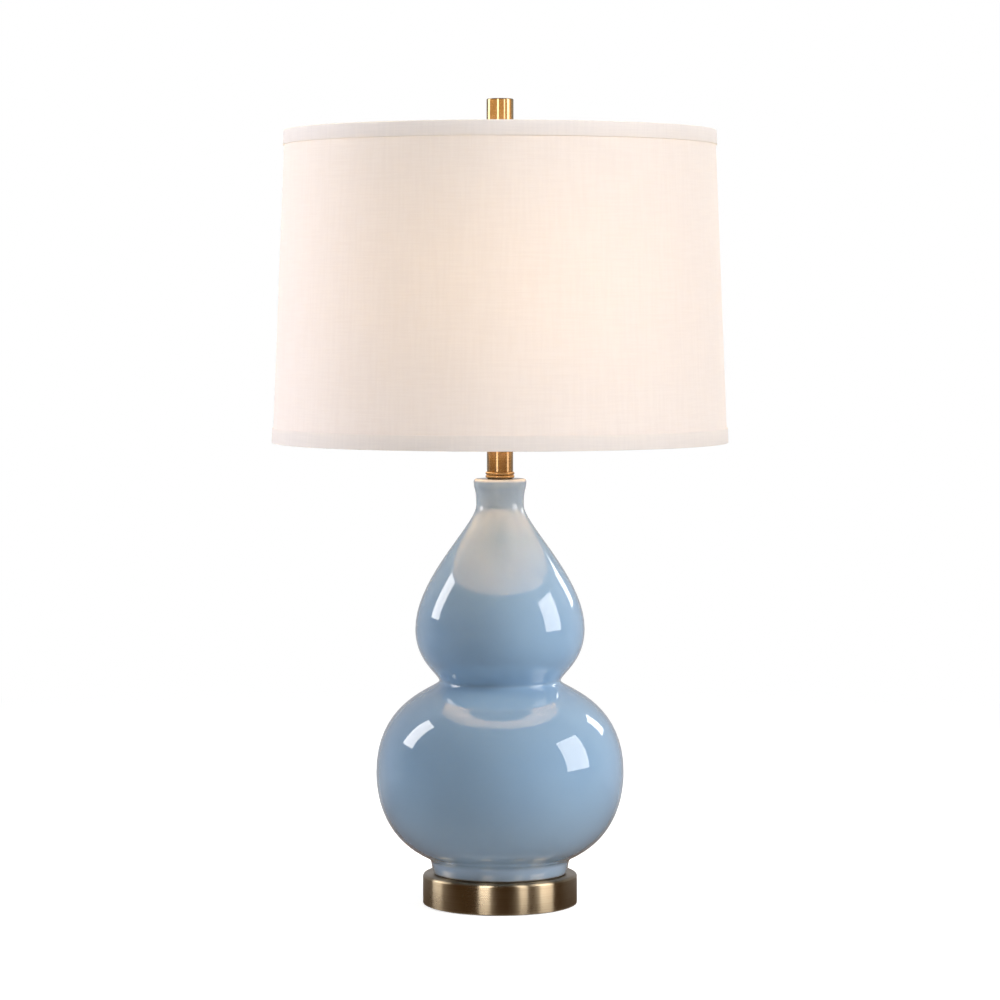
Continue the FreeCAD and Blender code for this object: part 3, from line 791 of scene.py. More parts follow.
@dataclass(frozen=True)
class Felt(Finish):
    """Pressed wool with stray fibres."""

    name: str = "charcoal_felt"
    light: Colour = (0.115, 0.115, 0.125)
    dark: Colour = (0.055, 0.055, 0.062)

    def made(self) -> bpy.types.Material:
        """Build the felt from crossing fibres and a soft sheen.

        Returns:
            The material.
        """
        g = Graph(self.name)
        first = g.noise(900.0, 3.0, g.stretched((1.0, 0.12, 1.0)))
        second = g.noise(900.0, 3.0, g.stretched((0.12, 1.0, 1.0)))
        fibres = g.calc("MULTIPLY", g.calc("ADD", first, second), 0.5)
        tone = g.mix(g.ranged(fibres, 0.35, 0.65), self.dark, self.light)
        feeds = {"Base_Color": tone, "Roughness": 0.95, "Normal": g.bump(fibres, 0.25)}
        return g.done(g.principled(**feeds, Sheen_Weight=0.3, Sheen_Roughness=0.5))


@dataclass(frozen=True)
class Glass(Finish):
    """Clear glass, or frosted glass that glows."""

    tint: Colour = (0.95, 0.97, 0.97)
    roughness: float = 0.03
    through: float = 1.0
    glow: float = 0.0
    glow_colour: Colour = (1.0, 0.78, 0.50)

    def made(self) -> bpy.types.Material:
        """Build the glass with faint waves and, if lit, its glow.

        Returns:
            The material.
        """
        g = Graph(self.name)
        clouds = g.noise(70.0, 3.0)
        dimmer = tuple(0.93 * part for part in self.tint)
        feeds = {
            "Base_Color": g.mix(g.ranged(clouds, 0.3, 0.7), self.tint, dimmer),
            "Roughness": self.roughness,
            "IOR": 1.5,
            "Transmission_Weight": self.through,
            "Normal": g.bump(clouds, 0.05),
        }
        if self.glow:
            feeds |= {"Emission_Color": self.glow_colour, "Emission_Strength": self.glow}
        return g.done(g.principled(**feeds))


@dataclass(frozen=True)
class Linen(Finish):
    """Plain woven cloth of the shade and its tapes, which lets lamplight through."""

    light: Colour = (0.94, 0.855, 0.820)
    dark: Colour = (0.915, 0.825, 0.787)
    through: float = 0.060
    lit: Colour = (0.84, 0.74, 0.26)
    threads: int = 2068
    pitch: float = 0.55

    def made(self) -> bpy.types.Material:
        """Build the cloth from crossing threads with slubs. Light from behind spreads forwards.

        Returns:
            The material.
        """
        g = Graph(self.name)
        x, y, z = g.split()
        around = g.calc("MULTIPLY", g.calc("ARCTAN2", y, x), self.threads / 2)
        up = g.calc("MULTIPLY", z, math.pi / (self.pitch * MM))
        crossing = g.calc("MULTIPLY", g.calc("SINE", around), g.calc("SINE", up))
        weave = g.calc("ABSOLUTE", crossing)
        warp = g.noise(420.0, 4.0, g.stretched((1.0, 1.0, 0.05)))
        weft = g.noise(900.0, 4.0, g.stretched((0.04, 0.04, 1.0)))
        slubs = g.calc("MULTIPLY", g.calc("ADD", warp, weft), 0.5)
        thick = g.ranged(slubs, 0.38, 0.62)
        tone = g.mix(thick, self.light, self.dark)
        tone = g.mix(g.ranged(weave, 0.0, 0.5, 0.3, 0.0), tone, self.dark)
        feeds = {"Base_Color": tone, "Roughness": 0.9}
        feeds["Normal"] = g.bump(weave, 0.04, g.bump(slubs, 0.05))
        cloth = g.principled(**feeds, Sheen_Weight=0.25, Sheen_Roughness=0.4)
        glow = g.mix(thick, self.lit, tuple(0.90 * part for part in self.lit))
        spread = {"Color": glow, "Roughness": 0.85, "IOR": 3.0}
        lit = g.out("ShaderNodeBsdfRefraction", spread)
        return g.done(g.open_behind(g.blend(self.through, cloth, lit)))


@dataclass(frozen=True)
class Sheeting(Finish):
    """The shade's stiff white lining sheet, which lets light through."""

    name: str = "white_sheeting"
    light: Colour = (0.94, 0.92, 0.88)
    dark: Colour = (0.90, 0.87, 0.82)
    through: float = 0.50
    clear: float = 0.6

    def made(self) -> bpy.types.Material:
        """Build the sheet from faint mottling and a satin skin.

        Returns:
            The material.
        """
        g = Graph(self.name)
        tone = g.mix(g.ranged(g.noise(140.0, 4.0), 0.3, 0.7), self.light, self.dark)
        normal = g.bump(g.noise(500.0, 2.0), 0.02)
        skin = g.principled(Base_Color=tone, Roughness=0.42, Normal=normal)
        spread = g.out("ShaderNodeBsdfTranslucent", {"Color": tone, "Normal": normal})
        clear = g.out("ShaderNodeBsdfTransparent", {"Color": self.light})
        lit = g.blend(self.clear, spread, clear)
        return g.done(g.open_behind(g.blend(self.through, skin, lit)))


# A metal's name, bright and dark colours, roughness, depth of its lines in millimetres and age.
BASE_BRASS = Metal(
    "brushed_base_brass", (0.38, 0.305, 0.205), (0.25, 0.175, 0.10), 0.27, 0.003, 0.5, drawn_out=1.0
)
NECK_BRASS = Metal(
    "satin_neck_brass", (0.48, 0.335, 0.18), (0.34, 0.21, 0.09), 0.19, 0.002, 0.35, drawn_out=1.0
)
FINIAL_BRASS = Metal(
    "satin_finial_brass", (0.54, 0.41, 0.24), (0.38, 0.26, 0.13), 0.15, 0.002, 0.35, drawn_out=1.0
)
HARP_BRASS = Metal(
    "lacquered_harp_brass", (0.80, 0.62, 0.34), (0.52, 0.35, 0.15), 0.18, 0.004, 0.4, Grain.DRAWN
)
ZINC_STEEL = Metal(
    "zinc_steel", (0.66, 0.66, 0.68), (0.42, 0.42, 0.45), 0.32, 0.006, 0.5, Grain.DRAWN
)
ALUMINIUM = Metal("cap_aluminium", (0.80, 0.80, 0.81), (0.60, 0.60, 0.62), 0.26, 0.004, 0.3)
SOLDER = Metal("soft_solder", (0.68, 0.68, 0.70), (0.42, 0.42, 0.44), 0.38, 0.02, 0.6, Grain.DRAWN)
TUNGSTEN = Metal(
    "filament_wire", (0.45, 0.44, 0.43), (0.25, 0.24, 0.24), 0.4, 0.004, 0.3, Grain.DRAWN
)
# A coat's name, light and dark colours, roughness, grain a metre, its depth, patches a metre.
IRON = Coat("cast_iron", (0.15, 0.15, 0.16), (0.075, 0.075, 0.08), 0.75, 700.0, 0.25, 45.0)
DARK_PLASTIC = Coat(
    "moulded_dark_plastic", (0.040, 0.034, 0.030), (0.026, 0.022, 0.019), 0.36, 1500.0, 0.01, 80.0
)
GASKET = Coat(
    "gasket_rubber", (0.075, 0.068, 0.060), (0.045, 0.040, 0.035), 0.85, 1200.0, 0.04, 90.0
)
BOARD = Coat("pressed_board", (0.62, 0.56, 0.45), (0.50, 0.43, 0.33), 0.85, 800.0, 0.06, 120.0)
WHITE_PAINT = Coat(
    "white_wire_paint", (0.86, 0.855, 0.84), (0.80, 0.79, 0.77), 0.34, 900.0, 0.02, 60.0
)
BLACK_GLASS = Coat(
    "black_glass", (0.022, 0.022, 0.025), (0.012, 0.012, 0.014), 0.12, 500.0, 0.01, 90.0
)
FROSTED = Glass("frosted_bulb_glass", (0.74, 0.71, 0.66), 0.45, 0.0, glow=0.32)
CLEAR = Glass("clear_stem_glass")
SHADE_LINEN = Linen("woven_shade_linen")
TAPE_LINEN = Linen("folded_tape_linen", (0.955, 0.885, 0.862), (0.930, 0.860, 0.835), 0.14)
SHEETING = Sheeting()
GLAZE = Glaze()
FELT = Felt()


def fit(piece: Piece, body: str, slot: str, finish: Finish, *nodes: str) -> Piece:
    """Finish a piece and put it on its body in place of CAD nodes.

    Args:
        piece: The modelled piece.
        body: The body that it rides on.
        slot: The record's material slot; not used.
        finish: Its finish.
        nodes: The CAD nodes that it stands for.

    Returns:
        The piece.
    """
    piece.data.materials.clear()
    piece.data.materials.append(finish.material())
    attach(piece, body)
    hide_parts(*nodes)
    log.info("%s: %d faces on %s", piece.name, len(piece.data.polygons), body)
    return piece


def coat(finish: Finish, *nodes: str) -> None:
    """Give CAD nodes that stay as they are a finish.

    Args:
        finish: The finish.
        nodes: The nodes' names.
    """
    for name in nodes:
        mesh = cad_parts[name].data
        if not mesh.materials:
            mesh.materials.append(None)
        for index in range(len(mesh.materials)):
            mesh.materials[index] = finish.material()
        log.info("%s: coated with %s", name, finish.name)


@dataclass
class Base:
    """The spun brass cup with its felt, weight and cord bushing."""

    radius: float = 63.5
    height: float = 25.4
    wall: float = 1.2
    lift: float = 0.8
    edge: float = 2.4
    pipe_hole: float = 5.5
    pad_r: float = 61.9
    pad_z: tuple[float, float] = (0.15, 1.9)  # its two faces
    pad_ripple: tuple[float, float] = (0.25, 6.0)  # height and length
    cord_z: float = 9.0
    bore_r: float = 3.4
    barrel_r: float = 4.7
    barrel_play: float = 0.1
    tail: float = 6.2
    clip_r: float = 5.4
    clip_y: tuple[float, float, float] = (60.77, 61.2, 61.97)  # slope, crest, step
    slit: float = 0.5
    slit_y: float = 60.5
    flange_r: float = 6.5
    flange_thick: float = 1.5

    def build(self) -> None:
        """Build and fit the base's pieces."""
        self.cup()
        self.pad()
        self.bushing()
        coat(IRON, "base_weight")
        coat(ZINC_STEEL, "base_washer", "base_lock_washer", "base_nut")
        coat(GASKET, "foot_gasket")

    def cup(self) -> None:
        """Spin the cup and pierce its wall for the cord."""
        inner, under = self.radius - self.wall, self.height - self.wall
        corners = [
            (self.radius, self.lift, 0.5),
            (self.radius, self.height, self.edge),
            (self.pipe_hole, self.height, 0.3),
            (self.pipe_hole, under, 0.0),
            (inner, under, self.edge - self.wall),
            (inner, self.lift, 0.5),
        ]
        cup = turned_ring("base_cup_spun", corners, 5, 160)
        start, end = (0.0, inner - 5, self.cord_z), (0.0, self.radius + 3, self.cord_z)
        bored(cup, self.barrel_r + self.barrel_play, start, end)
        fit(smooth(cup), "stand", "base_brass", BASE_BRASS, "base_cup")

    def pad(self) -> None:
        """Cut the felt disc, a little uneven, with a soft rim."""
        low, high = self.pad_z
        rings = [self.pad_r * share / 8 for share in range(8)]
        edge = [(self.pad_r, low, 0.6), (self.pad_r, high, 0.5)]
        corners = [(r, low, 0.0) for r in rings] + edge + [(r, high, 0.0) for r in reversed(rings)]
        pad = rippled(turned("felt_pad", filleted(corners), fine=3), *self.pad_ripple)
        fit(smooth(pad, 60), "stand", "felt", FELT, "base_pad")

    def bushing(self) -> None:
        """Turn the bushing with its snap ring and split its tail."""
        tail, face = self.radius - self.tail, self.radius + self.flange_thick
        slope, crest, step = self.clip_y
        corners = [
            (self.bore_r, tail, 0.0),
            (self.barrel_r, tail, 0.3),
            (self.barrel_r, slope, 0.0),
            (self.clip_r, crest, 0.2),
            (self.clip_r, step, 0.15),
            (self.barrel_r, step, 0.0),
            (self.barrel_r, self.radius, 0.0),
            (self.flange_r, self.radius, 0.2),
            (self.flange_r, face, 0.7),
            (self.bore_r, face, 0.6),
        ]
        spindle = Spindle(Vector((0, 0, self.cord_z)), Vector((0, 1, 0)), Vector((1, 0, 0)))
        bushing = turned("cord_bushing_moulded", filleted(corners, True), True, 4, 64, spindle)
        across = self.clip_r + 1
        for x, z in ((across, self.slit), (self.slit, across)):
            low, high = (-x, tail - 1, self.cord_z - z), (x, self.slit_y, self.cord_z + z)
            cut(bushing, block("slit", low, high))
        fit(smooth(bushing), "stand", "dark_plastic", DARK_PLASTIC, "cord_bushing")


@dataclass
class Gourd:
    """The hollow ceramic double gourd, measured from its foot.

    Each widest or narrowest place is a radius, a height and the heights of its two handles.
    """

    foot_z: float = 26.2
    foot_r: float = 54.6
    foot_bevel: float = 0.8
    foot_top: tuple[float, float] = (56.8, 8.8)
    groove: tuple[float, float] = (57.7, 11.8)
    blend: float = 3.6
    under: tuple[float, float] = (33.9, 16.1)  # the way from the groove outward
    lower: tuple[float, float, float, float] = (101.7, 83.1, 60.6, 143.5)
    waist: tuple[float, float, float, float] = (49.9, 158.4, 152.2, 163.9)
    upper: tuple[float, float, float, float] = (69.5, 200.9, 174.1, 243.0)
    neck: tuple[float, float, float, float] = (19.5, 302.5, 287.0, 318.0)
    lip: tuple[float, float] = (21.6, 322.2)
    lip_pull: float = 314.6
    lip_round: float = 2.2
    wall: float = 5.0
    inner_pulls: tuple[tuple[float | None, float], ...] = (
        (None, 282.0),
        (241.0, 176.1),
        (172.4, 143.7),
        (141.5, 60.6),
    )
    inner_under: tuple[float, float] = (91.6, 32.9)
    inner_foot_r: float = 50.4
    floor: float = 6.0
    floor_hole: float = 12.0
    pipe_hole: float = 5.5
    pipe_bevel: float = 0.4

    def build(self) -> None:
        """Throw the gourd on top of the base and glaze it."""
        outline = self.outside() + self.inside()
        stops = [point.moved(self.raised) for point in outline]
        gourd = turned("gourd_glazed", stops, True, 18, 176)
        fit(smooth(gourd, 40), "stand", "blue_glaze", GLAZE, "ceramic_body")

    def raised(self, spot: Vector) -> Vector:
        """Lift a point of the outline onto the base."""
        return Vector((spot.x, spot.y + self.foot_z))

    def outside(self) -> list[Stop]:
        """Draw the glazed outline from the foot to the lip's hole.

        Returns:
            Its points in order.
        """
        reach = math.hypot(*self.under)
        blend = [a + self.blend * b / reach for a, b in zip(self.groove, self.under)]
        near, far = (
            [a + (b - a) * 2 / 3 for a, b in zip(end, self.groove)]
            for end in (self.foot_top, blend)
        )
        lip_r, lip_z = self.lip
        top, shoulder = lip_z + self.lip_round, lip_r - self.lip_round
        pull = QUARTER_PULL * self.lip_round
        return [
            stop(self.foot_r, 0.0),
            stop(self.foot_r + self.foot_bevel, self.foot_bevel),
            stop(*self.foot_top, None, near),
            stop(*blend, far, [a + b for a, b in zip(blend, self.under)]),
            upright(*self.lower),
            upright(*self.waist),
            upright(*self.upper),
            upright(*self.neck),
            upright(lip_r, lip_z, self.lip_pull, lip_z + pull),
            stop(shoulder, top, (shoulder + pull, top), None),
            stop(self.pipe_hole + self.pipe_bevel, top),
            stop(self.pipe_hole, top - self.pipe_bevel),
        ]

    def inside(self) -> list[Stop]:
        """Draw the outline of the hollow from under the lip to the hole in the floor.

        Returns:
            Its points in order.
        """
        shelf = self.lip[1] + self.lip_round - self.floor
        walls = zip((self.neck, self.upper, self.waist, self.lower), self.inner_pulls)
        return [
            stop(self.pipe_hole, shelf),
            stop(self.neck[0] - self.wall, shelf),
            *(upright(spot[0] - self.wall, spot[1], *pulls) for spot, pulls in walls),
            stop(self.groove[0], self.groove[1] + self.wall, self.inner_under, None),
            stop(self.inner_foot_r, self.floor),
            stop(self.floor_hole, self.floor),
            stop(self.floor_hole, 0.0),
        ]


@dataclass
class Neck:
    """The brass between the gourd and the socket: beads, tube, harp saddle and nut."""

    beads_z: float = 351.2
    bead_r: float = 1.3
    valley_r: float = 10.6
    hole_r: float = 5.5
    tube_r: float = 10.75
    tube_wall: float = 1.2
    tube_z: float = 356.4
    saddle_z: float = 384.0
    strip: float = 1.6
    flat_x: float = 15.0
    post_x: float = 28.3
    rise_z: float = 392.0
    shoulder_z: float = 397.5
    post_top_z: float = 408.9
    half_widths: tuple[float, float, float] = (6.0, 4.5, 3.0)  # strip, post, tip
    trim_x: float = 40.0
    nut_flats: float = 14.0
    nut_thick: float = 3.0
    nut_bore: float = 5.2
    nut_bevel: float = 0.7

    def build(self) -> None:
        """Build and fit the neck's pieces."""
        self.beads()
        self.tube()
        self.saddle()
        self.nut()
        coat(ZINC_STEEL, "lamp_pipe")
        coat(GASKET, "neck_gasket")

    def beads(self) -> None:
        """Turn the two half-round beads."""
        r, bead, pull = self.valley_r, self.bead_r, QUARTER_PULL * self.bead_r
        stops = [stop(self.hole_r, self.beads_z)]
        for low in (self.beads_z, self.beads_z + 2 * bead):
            mid, top = low + bead, low + 2 * bead
            stops.append(stop(r, low, None, (r + pull, low)))
            stops.append(upright(r + bead, mid, mid - pull, mid + pull))
            stops.append(stop(r, top, (r + pull, top), None))
        stops.append(stop(self.hole_r, self.tube_z))
        beads = turned("neck_beads", stops, True, 8)
        fit(smooth(beads), "stand", "neck_brass", NECK_BRASS, "neck_ring")

    def tube(self) -> None:
        """Turn the tube with its closed top."""
        inner, under = self.tube_r - self.tube_wall, self.saddle_z - self.tube_wall
        corners = [
            (inner, self.tube_z, 0.0),
            (self.tube_r, self.tube_z, 0.25),
            (self.tube_r, self.saddle_z, 0.6),
            (self.hole_r, self.saddle_z, 0.0),
            (self.hole_r, under, 0.0),
            (inner, under, 0.0),
        ]
        tube = turned_ring("neck_tube_turned", corners, 5)
        fit(smooth(tube), "stand", "neck_brass", NECK_BRASS, "neck_tube")

    def saddle(self) -> None:
        """Bend the strip, narrow its ends into posts and pierce it for the pipe."""
        half = self.strip / 2
        x, low = self.post_x - half, self.saddle_z + half
        wide = self.half_widths[0]
        corners = [
            (x, -wide, self.post_top_z, 0.0),
            (x, -wide, self.rise_z + half, 2.4),
            (self.flat_x - 0.4, -wide, low, 4.0),
        ]
        corners += [(-cx, cy, cz, bend) for cx, cy, cz, bend in reversed(corners)]
        saddle = drawn_line("harp_saddle_bent", in_metres(filleted(corners)), 6, False)
        across = (0, 2 * wide * MM, 0)
        with edit(saddle, Pick.EDGES):
            bpy.ops.mesh.select_all(action="SELECT")
            bpy.ops.mesh.extrude_region_move(TRANSFORM_OT_translate={"value": across})
            mend()
        shaped(saddle, "SOLIDIFY", thickness=self.strip * MM, offset=0.0)
        steps = zip(self.half_widths[1:], (self.rise_z + self.strip, self.shoulder_z))
        for half_width, bottom in steps:
            for side in (-1, 1):
                near, far = sorted((side * half_width, side * (wide + 3)))
                top = self.post_top_z + 5
                cut(saddle, block("trim", (-self.trim_x, near, bottom), (self.trim_x, far, top)))
        bored(saddle, self.hole_r, (0, 0, self.saddle_z - 3), (0, 0, self.saddle_z + 4))
        eased(saddle, 0.18)
        fit(smooth(saddle), "stand", "harp_brass", HARP_BRASS, "harp_saddle")

    def nut(self) -> None:
        """Shape the thin nut with chamfered corners."""
        low = self.saddle_z + self.strip
        high, r = low + self.nut_thick, self.nut_flats / math.sqrt(3)
        nut = added(
            bpy.ops.mesh.primitive_cylinder_add,
            "neck_nut_cut",
            vertices=6,
            radius=r * MM,
            depth=self.nut_thick * MM,
            location=(0, 0, (low + high) / 2 * MM),
            rotation=(0, 0, math.radians(30)),
        )
        bevel, half = self.nut_bevel, self.nut_bevel / 2
        outline = [stop(0, low), stop(r - bevel, low), stop(r, low + half)]
        outline += [stop(r, high - half), stop(r - bevel, high), stop(0, high)]
        cut(nut, turned("barrel", outline), Join.SHARED)
        bored(nut, self.nut_bore, (0, 0, low - 1), (0, 0, high + 1))
        fit(smooth(eased(nut, 0.12), 25), "stand", "harp_brass", HARP_BRASS, "neck_nut")


@dataclass
class LampSocket:
    """The lamp socket: cap, shell, switch key and what they hold."""

    cap_z: float = 388.6
    hub_r: float = 7.5
    hub_height: float = 6.0
    hub_bevel: float = 0.4
    bore_r: float = 5.2
    cap_r: float = 17.5
    cap_wall: float = 0.8
    cap_height: float = 15.5
    bowl_rise: float = 3.6
    rim_rise: float = 10.6
    edge_bevel: float = 0.3
    groove_rise: float = 12.4
    groove_half: float = 0.4
    groove_depth: float = 0.35
    screw_rise: float = 1.8
    screw_r: float = 1.5
    screw_hole: float = 1.65
    screw_y: tuple[float, float] = (5.2, 8.1)  # its two ends
    saw_half: float = 0.22
    shell_z: float = 399.4
    shell_top: float = 446.0
    shell_r: float = 16.6
    shell_wall: float = 0.6
    rings: tuple[float, float, float] = (417.6, 419.4, 438.0)
    ring_half: float = 0.7
    ring_depth: float = 0.32
    ring_pull: float = 0.3
    switch_z: float = 411.3
    switch_hole: float = 2.6
    knob_r: float = 5.2
    knob_near: float = -23.0
    knob_far: float = -37.0
    shaft_hole: float = 1.7
    shaft_end: float = -31.1
    knob_round: float = 0.6
    flutes: int = 12
    flute_steps: tuple[tuple[float, float], ...] = (
        (0.0, 0.70),  # degrees from a flute's middle, and the depth there
        (3.75, 0.52),
        (7.5, 0.08),
    )

    def build(self) -> None:
        """Build and fit the socket's pieces."""
        self.cap()
        self.set_screw()
        self.shell()
        self.knob()
        coat(BOARD, "socket_liner")
        coat(DARK_PLASTIC, "socket_core")
        coat(ALUMINIUM, "screw_shell")
        coat(HARP_BRASS, "centre_contact", "terminal_screws")
        coat(ZINC_STEEL, "switch_shaft")

    def cap(self) -> None:
        """Spin the cap as a bowl on its hub, with a pressed groove, and tap its screw hole."""
        z, r, inner = self.cap_z, self.cap_r, self.cap_r - self.cap_wall
        bowl, rim, top = z + self.bowl_rise, z + self.rim_rise, z + self.cap_height
        floor, hub_top, groove = bowl + self.cap_wall, z + self.hub_height, z + self.groove_rise
        stops = [
            stop(self.bore_r, z),
            stop(self.hub_r - self.hub_bevel, z),
            stop(self.hub_r, z + self.hub_bevel),
            stop(self.hub_r, bowl, None, (r, bowl)),
            upright(r, rim, bowl, None),
            stop(r, groove - self.groove_half),
            stop(r - self.groove_depth, groove),
            stop(r, groove + self.groove_half),
            stop(r, top - self.edge_bevel),
            stop(r - self.edge_bevel, top),
            stop(inner, top),
            upright(inner, rim, None, floor),
            stop(self.hub_r, floor, (inner, floor), None),
            stop(self.hub_r, hub_top),
            stop(self.bore_r, hub_top),
        ]
        cap = turned("socket_cap_spun", stops, True, 12)
        hole_z = z + self.screw_rise
        bored(cap, self.screw_hole, (0, -4, hole_z), (0, -self.hub_r - 3, hole_z))
        fit(smooth(cap), "stand", "harp_brass", HARP_BRASS, "socket_cap")

    def set_screw(self) -> None:
        """Turn the little screw and saw its slot."""
        z, r, (near, far) = self.cap_z + self.screw_rise, self.screw_r, self.screw_y
        spindle = Spindle(Vector((0, 0, z)), Vector((0, -1, 0)), Vector((1, 0, 0)))
        corners = [(0, near, 0), (r, near, 0.2), (r, far, 0.3), (0, far, 0)]
        screw = turned("set_screw_slotted", filleted(corners), fine=4, steps=40, spindle=spindle)
        half = self.saw_half
        cut(screw, block("saw", (-r - 1, -far - 0.5, z - half), (r + 1, -far + 0.6, z + half)))
        fit(smooth(screw), "stand", "steel", ZINC_STEEL, "cap_set_screw")

    def shell(self) -> None:
        """Draw the shell with three pressed rings and pierce it for the switch."""
        r, inner, high = self.shell_r, self.shell_r - self.shell_wall, self.shell_top
        stops = [stop(inner, self.shell_z), stop(r, self.shell_z)]
        for ring in self.rings:
            floor = r - self.ring_depth
            stops.append(stop(r, ring - self.ring_half))
            stops.append(upright(floor, ring, ring - self.ring_pull, ring + self.ring_pull))
            stops.append(stop(r, ring + self.ring_half))
        stops += [stop(r, high - 0.25), stop(r - 0.25, high), stop(inner, high)]
        shell = turned("socket_shell_drawn", stops, True, 4)
        start, end = (0, -inner + 3, self.switch_z), (0, -r - 3, self.switch_z)
        bored(shell, self.switch_hole, start, end)
        fit(smooth(shell), "stand", "harp_brass", HARP_BRASS, "socket_shell")

    def knob(self) -> None:
        """Mould the fluted switch knob and bore it for its shaft."""
        ends = (self.knob_near, self.knob_far)
        centre = (0, sum(ends) / 2 * MM, self.switch_z * MM)
        knob = added(
            bpy.ops.mesh.primitive_cylinder_add,
            "switch_knob_fluted",
            vertices=96,
            radius=self.knob_r * MM,
            depth=(self.knob_near - self.knob_far) * MM,
            location=centre,
            rotation=(math.radians(90), 0, 0),
        )
        with edit(knob, Pick.EDGES):
            select(knob, Pick.EDGES, lambda m, n: min(abs(m.y - end) for end in ends) < 0.01)
            bpy.ops.mesh.bevel(offset=self.knob_round * MM, segments=3, affect="EDGES")
        with edit(knob, Pick.VERTS):
            for offset, depth in self.flute_steps:
                bpy.ops.mesh.select_all(action="DESELECT")
                select(knob, Pick.VERTS, lambda m, n: self.on_flute(m, offset))
                scale = 1 - depth / self.knob_r
                bpy.ops.transform.resize(value=(scale, 1, scale), center_override=centre)
        start, end = (0, self.knob_near + 2, self.switch_z), (0, self.shaft_end, self.switch_z)
        bored(knob, self.shaft_hole, start, end)
        fit(smooth(knob, 28), "switch_key", "dark_plastic", DARK_PLASTIC, "switch_knob")

    def on_flute(self, spot: Vector, offset: float) -> bool:
        """Find the points of the knob's side that lie at an angle from a flute's middle.

        Args:
            spot: A point of the knob.
            offset: The angle in degrees.

        Returns:
            Whether the point is one of them.
        """
        x, z, apart = spot.x, spot.z - self.switch_z, 360 / self.flutes
        turn = math.degrees(math.atan2(z, x)) % apart
        near = min(turn, apart - turn)
        return math.hypot(x, z) > self.knob_r - 0.7 and abs(near - offset) < 0.5


@dataclass
class Bulb:
    """The frosted bulb and its threaded cap."""

    cap_z: float = 431.4
    cap_top: float = 451.4
    crest_r: float = 13.1
    root_r: float = 12.5
    pitch: float = 3.63
    turns: int = 6
    foil: float = 0.12
    rim_z: float = 440.0
    neck_r: float = 12.3
    glass: float = 1.0
    radius: float = 30.0
    centre_z: float = 506.0
    neck_pull: float = 14.0
    bowl_pull: float = 30.0

    def build(self) -> None:
        """Build and fit the bulb's pieces."""
        self.cap()
        self.envelope()
        coat(SOLDER, "bulb_tip")
        coat(BLACK_GLASS, "bulb_insulator")
        coat(CLEAR, "bulb_stem")
        coat(TUNGSTEN, "bulb_filament")

    def cap(self) -> None:
        """Roll the thread and close it with a collar below and above."""
        low, high = self.cap_z + 0.8, self.cap_top - 2.4
        thread = self.thread(low, high)
        inner = self.root_r - 0.15
        lower = [
            (inner, self.cap_z, 0),
            (self.root_r, self.cap_z, 0.3),
            (self.crest_r - 0.1, low + 0.6, 0.3),
            (inner, low + 0.6, 0),
        ]
        upper = [
            (inner, high - 0.5, 0),
            (self.crest_r, high - 0.2, 0.3),
            (self.crest_r, self.cap_top, 0.35),
            (inner, self.cap_top, 0),
        ]
        collars = [turned_ring("collar", corners, 4, 64) for corners in (lower, upper)]
        cap = joined("bulb_cap_rolled", thread, *collars)
        fit(smooth(cap, 45), "bulb_base", "shell_aluminium", ALUMINIUM, "bulb_cap")

    def thread(self, low: float, high: float) -> Piece:
        """Roll the thread as a screw, trim it level and give it its wall.

        Args:
            low: The height of its lower end.
            high: The height of its upper end.

        Returns:
            The mesh object.
        """
        middle, swing = (self.crest_r + self.root_r) / 2, (self.crest_r - self.root_r) / 2
        start = self.cap_z - self.pitch
        wave = [
            Stop(Vector((middle + swing * math.cos(turn), 0, start + self.pitch * turn / math.tau)))
            for turn in (math.tau * step / 10 for step in range(11))
        ]
        thread = drawn_line("thread", in_metres(wave), 1, False)
        turns = {"angle": math.tau, "iterations": self.turns, "steps": 64, "render_steps": 64}
        shaped(thread, "SCREW", axis="Z", screw_offset=self.pitch * MM, **turns)
        for height, upward in ((low, False), (high, True)):
            with edit(thread, Pick.FACES):
                mend()
                bpy.ops.mesh.bisect(
                    plane_co=(0, 0, height * MM),
                    plane_no=(0, 0, 1),
                    clear_inner=not upward,
                    clear_outer=upward,
                )
        # An open tube counts as inside out, so inside=True turns its faces outward.
        with edit(thread, Pick.FACES):
            bpy.ops.mesh.select_all(action="SELECT")
            bpy.ops.mesh.normals_make_consistent(inside=True)
        return shaped(thread, "SOLIDIFY", thickness=self.foil * MM, offset=-1.0)

    def envelope(self) -> None:
        """Blow the glass, open at its neck."""
        r, z = self.radius, self.centre_z
        inner, neck_inner = r - self.glass, self.neck_r - self.glass
        neck_z, bowl_z = self.cap_top + self.neck_pull, z - self.bowl_pull
        stops = [
            stop(0, z + inner, None, (inner * QUARTER_PULL, z + inner)),
            upright(inner, z, z + inner * QUARTER_PULL, bowl_z),
            upright(neck_inner, self.cap_top, neck_z, None),
            stop(neck_inner, self.rim_z),
            stop(self.neck_r, self.rim_z),
            upright(self.neck_r, self.cap_top, None, neck_z),
            upright(r, z, bowl_z, z + r * QUARTER_PULL),
            stop(0, z + r, (r * QUARTER_PULL, z + r), None),
        ]
        glass = turned("bulb_glass_blown", stops, False, 16, 64)
        fit(smooth(glass, 50), "bulb", "frosted_glass", FROSTED, "bulb_glass")


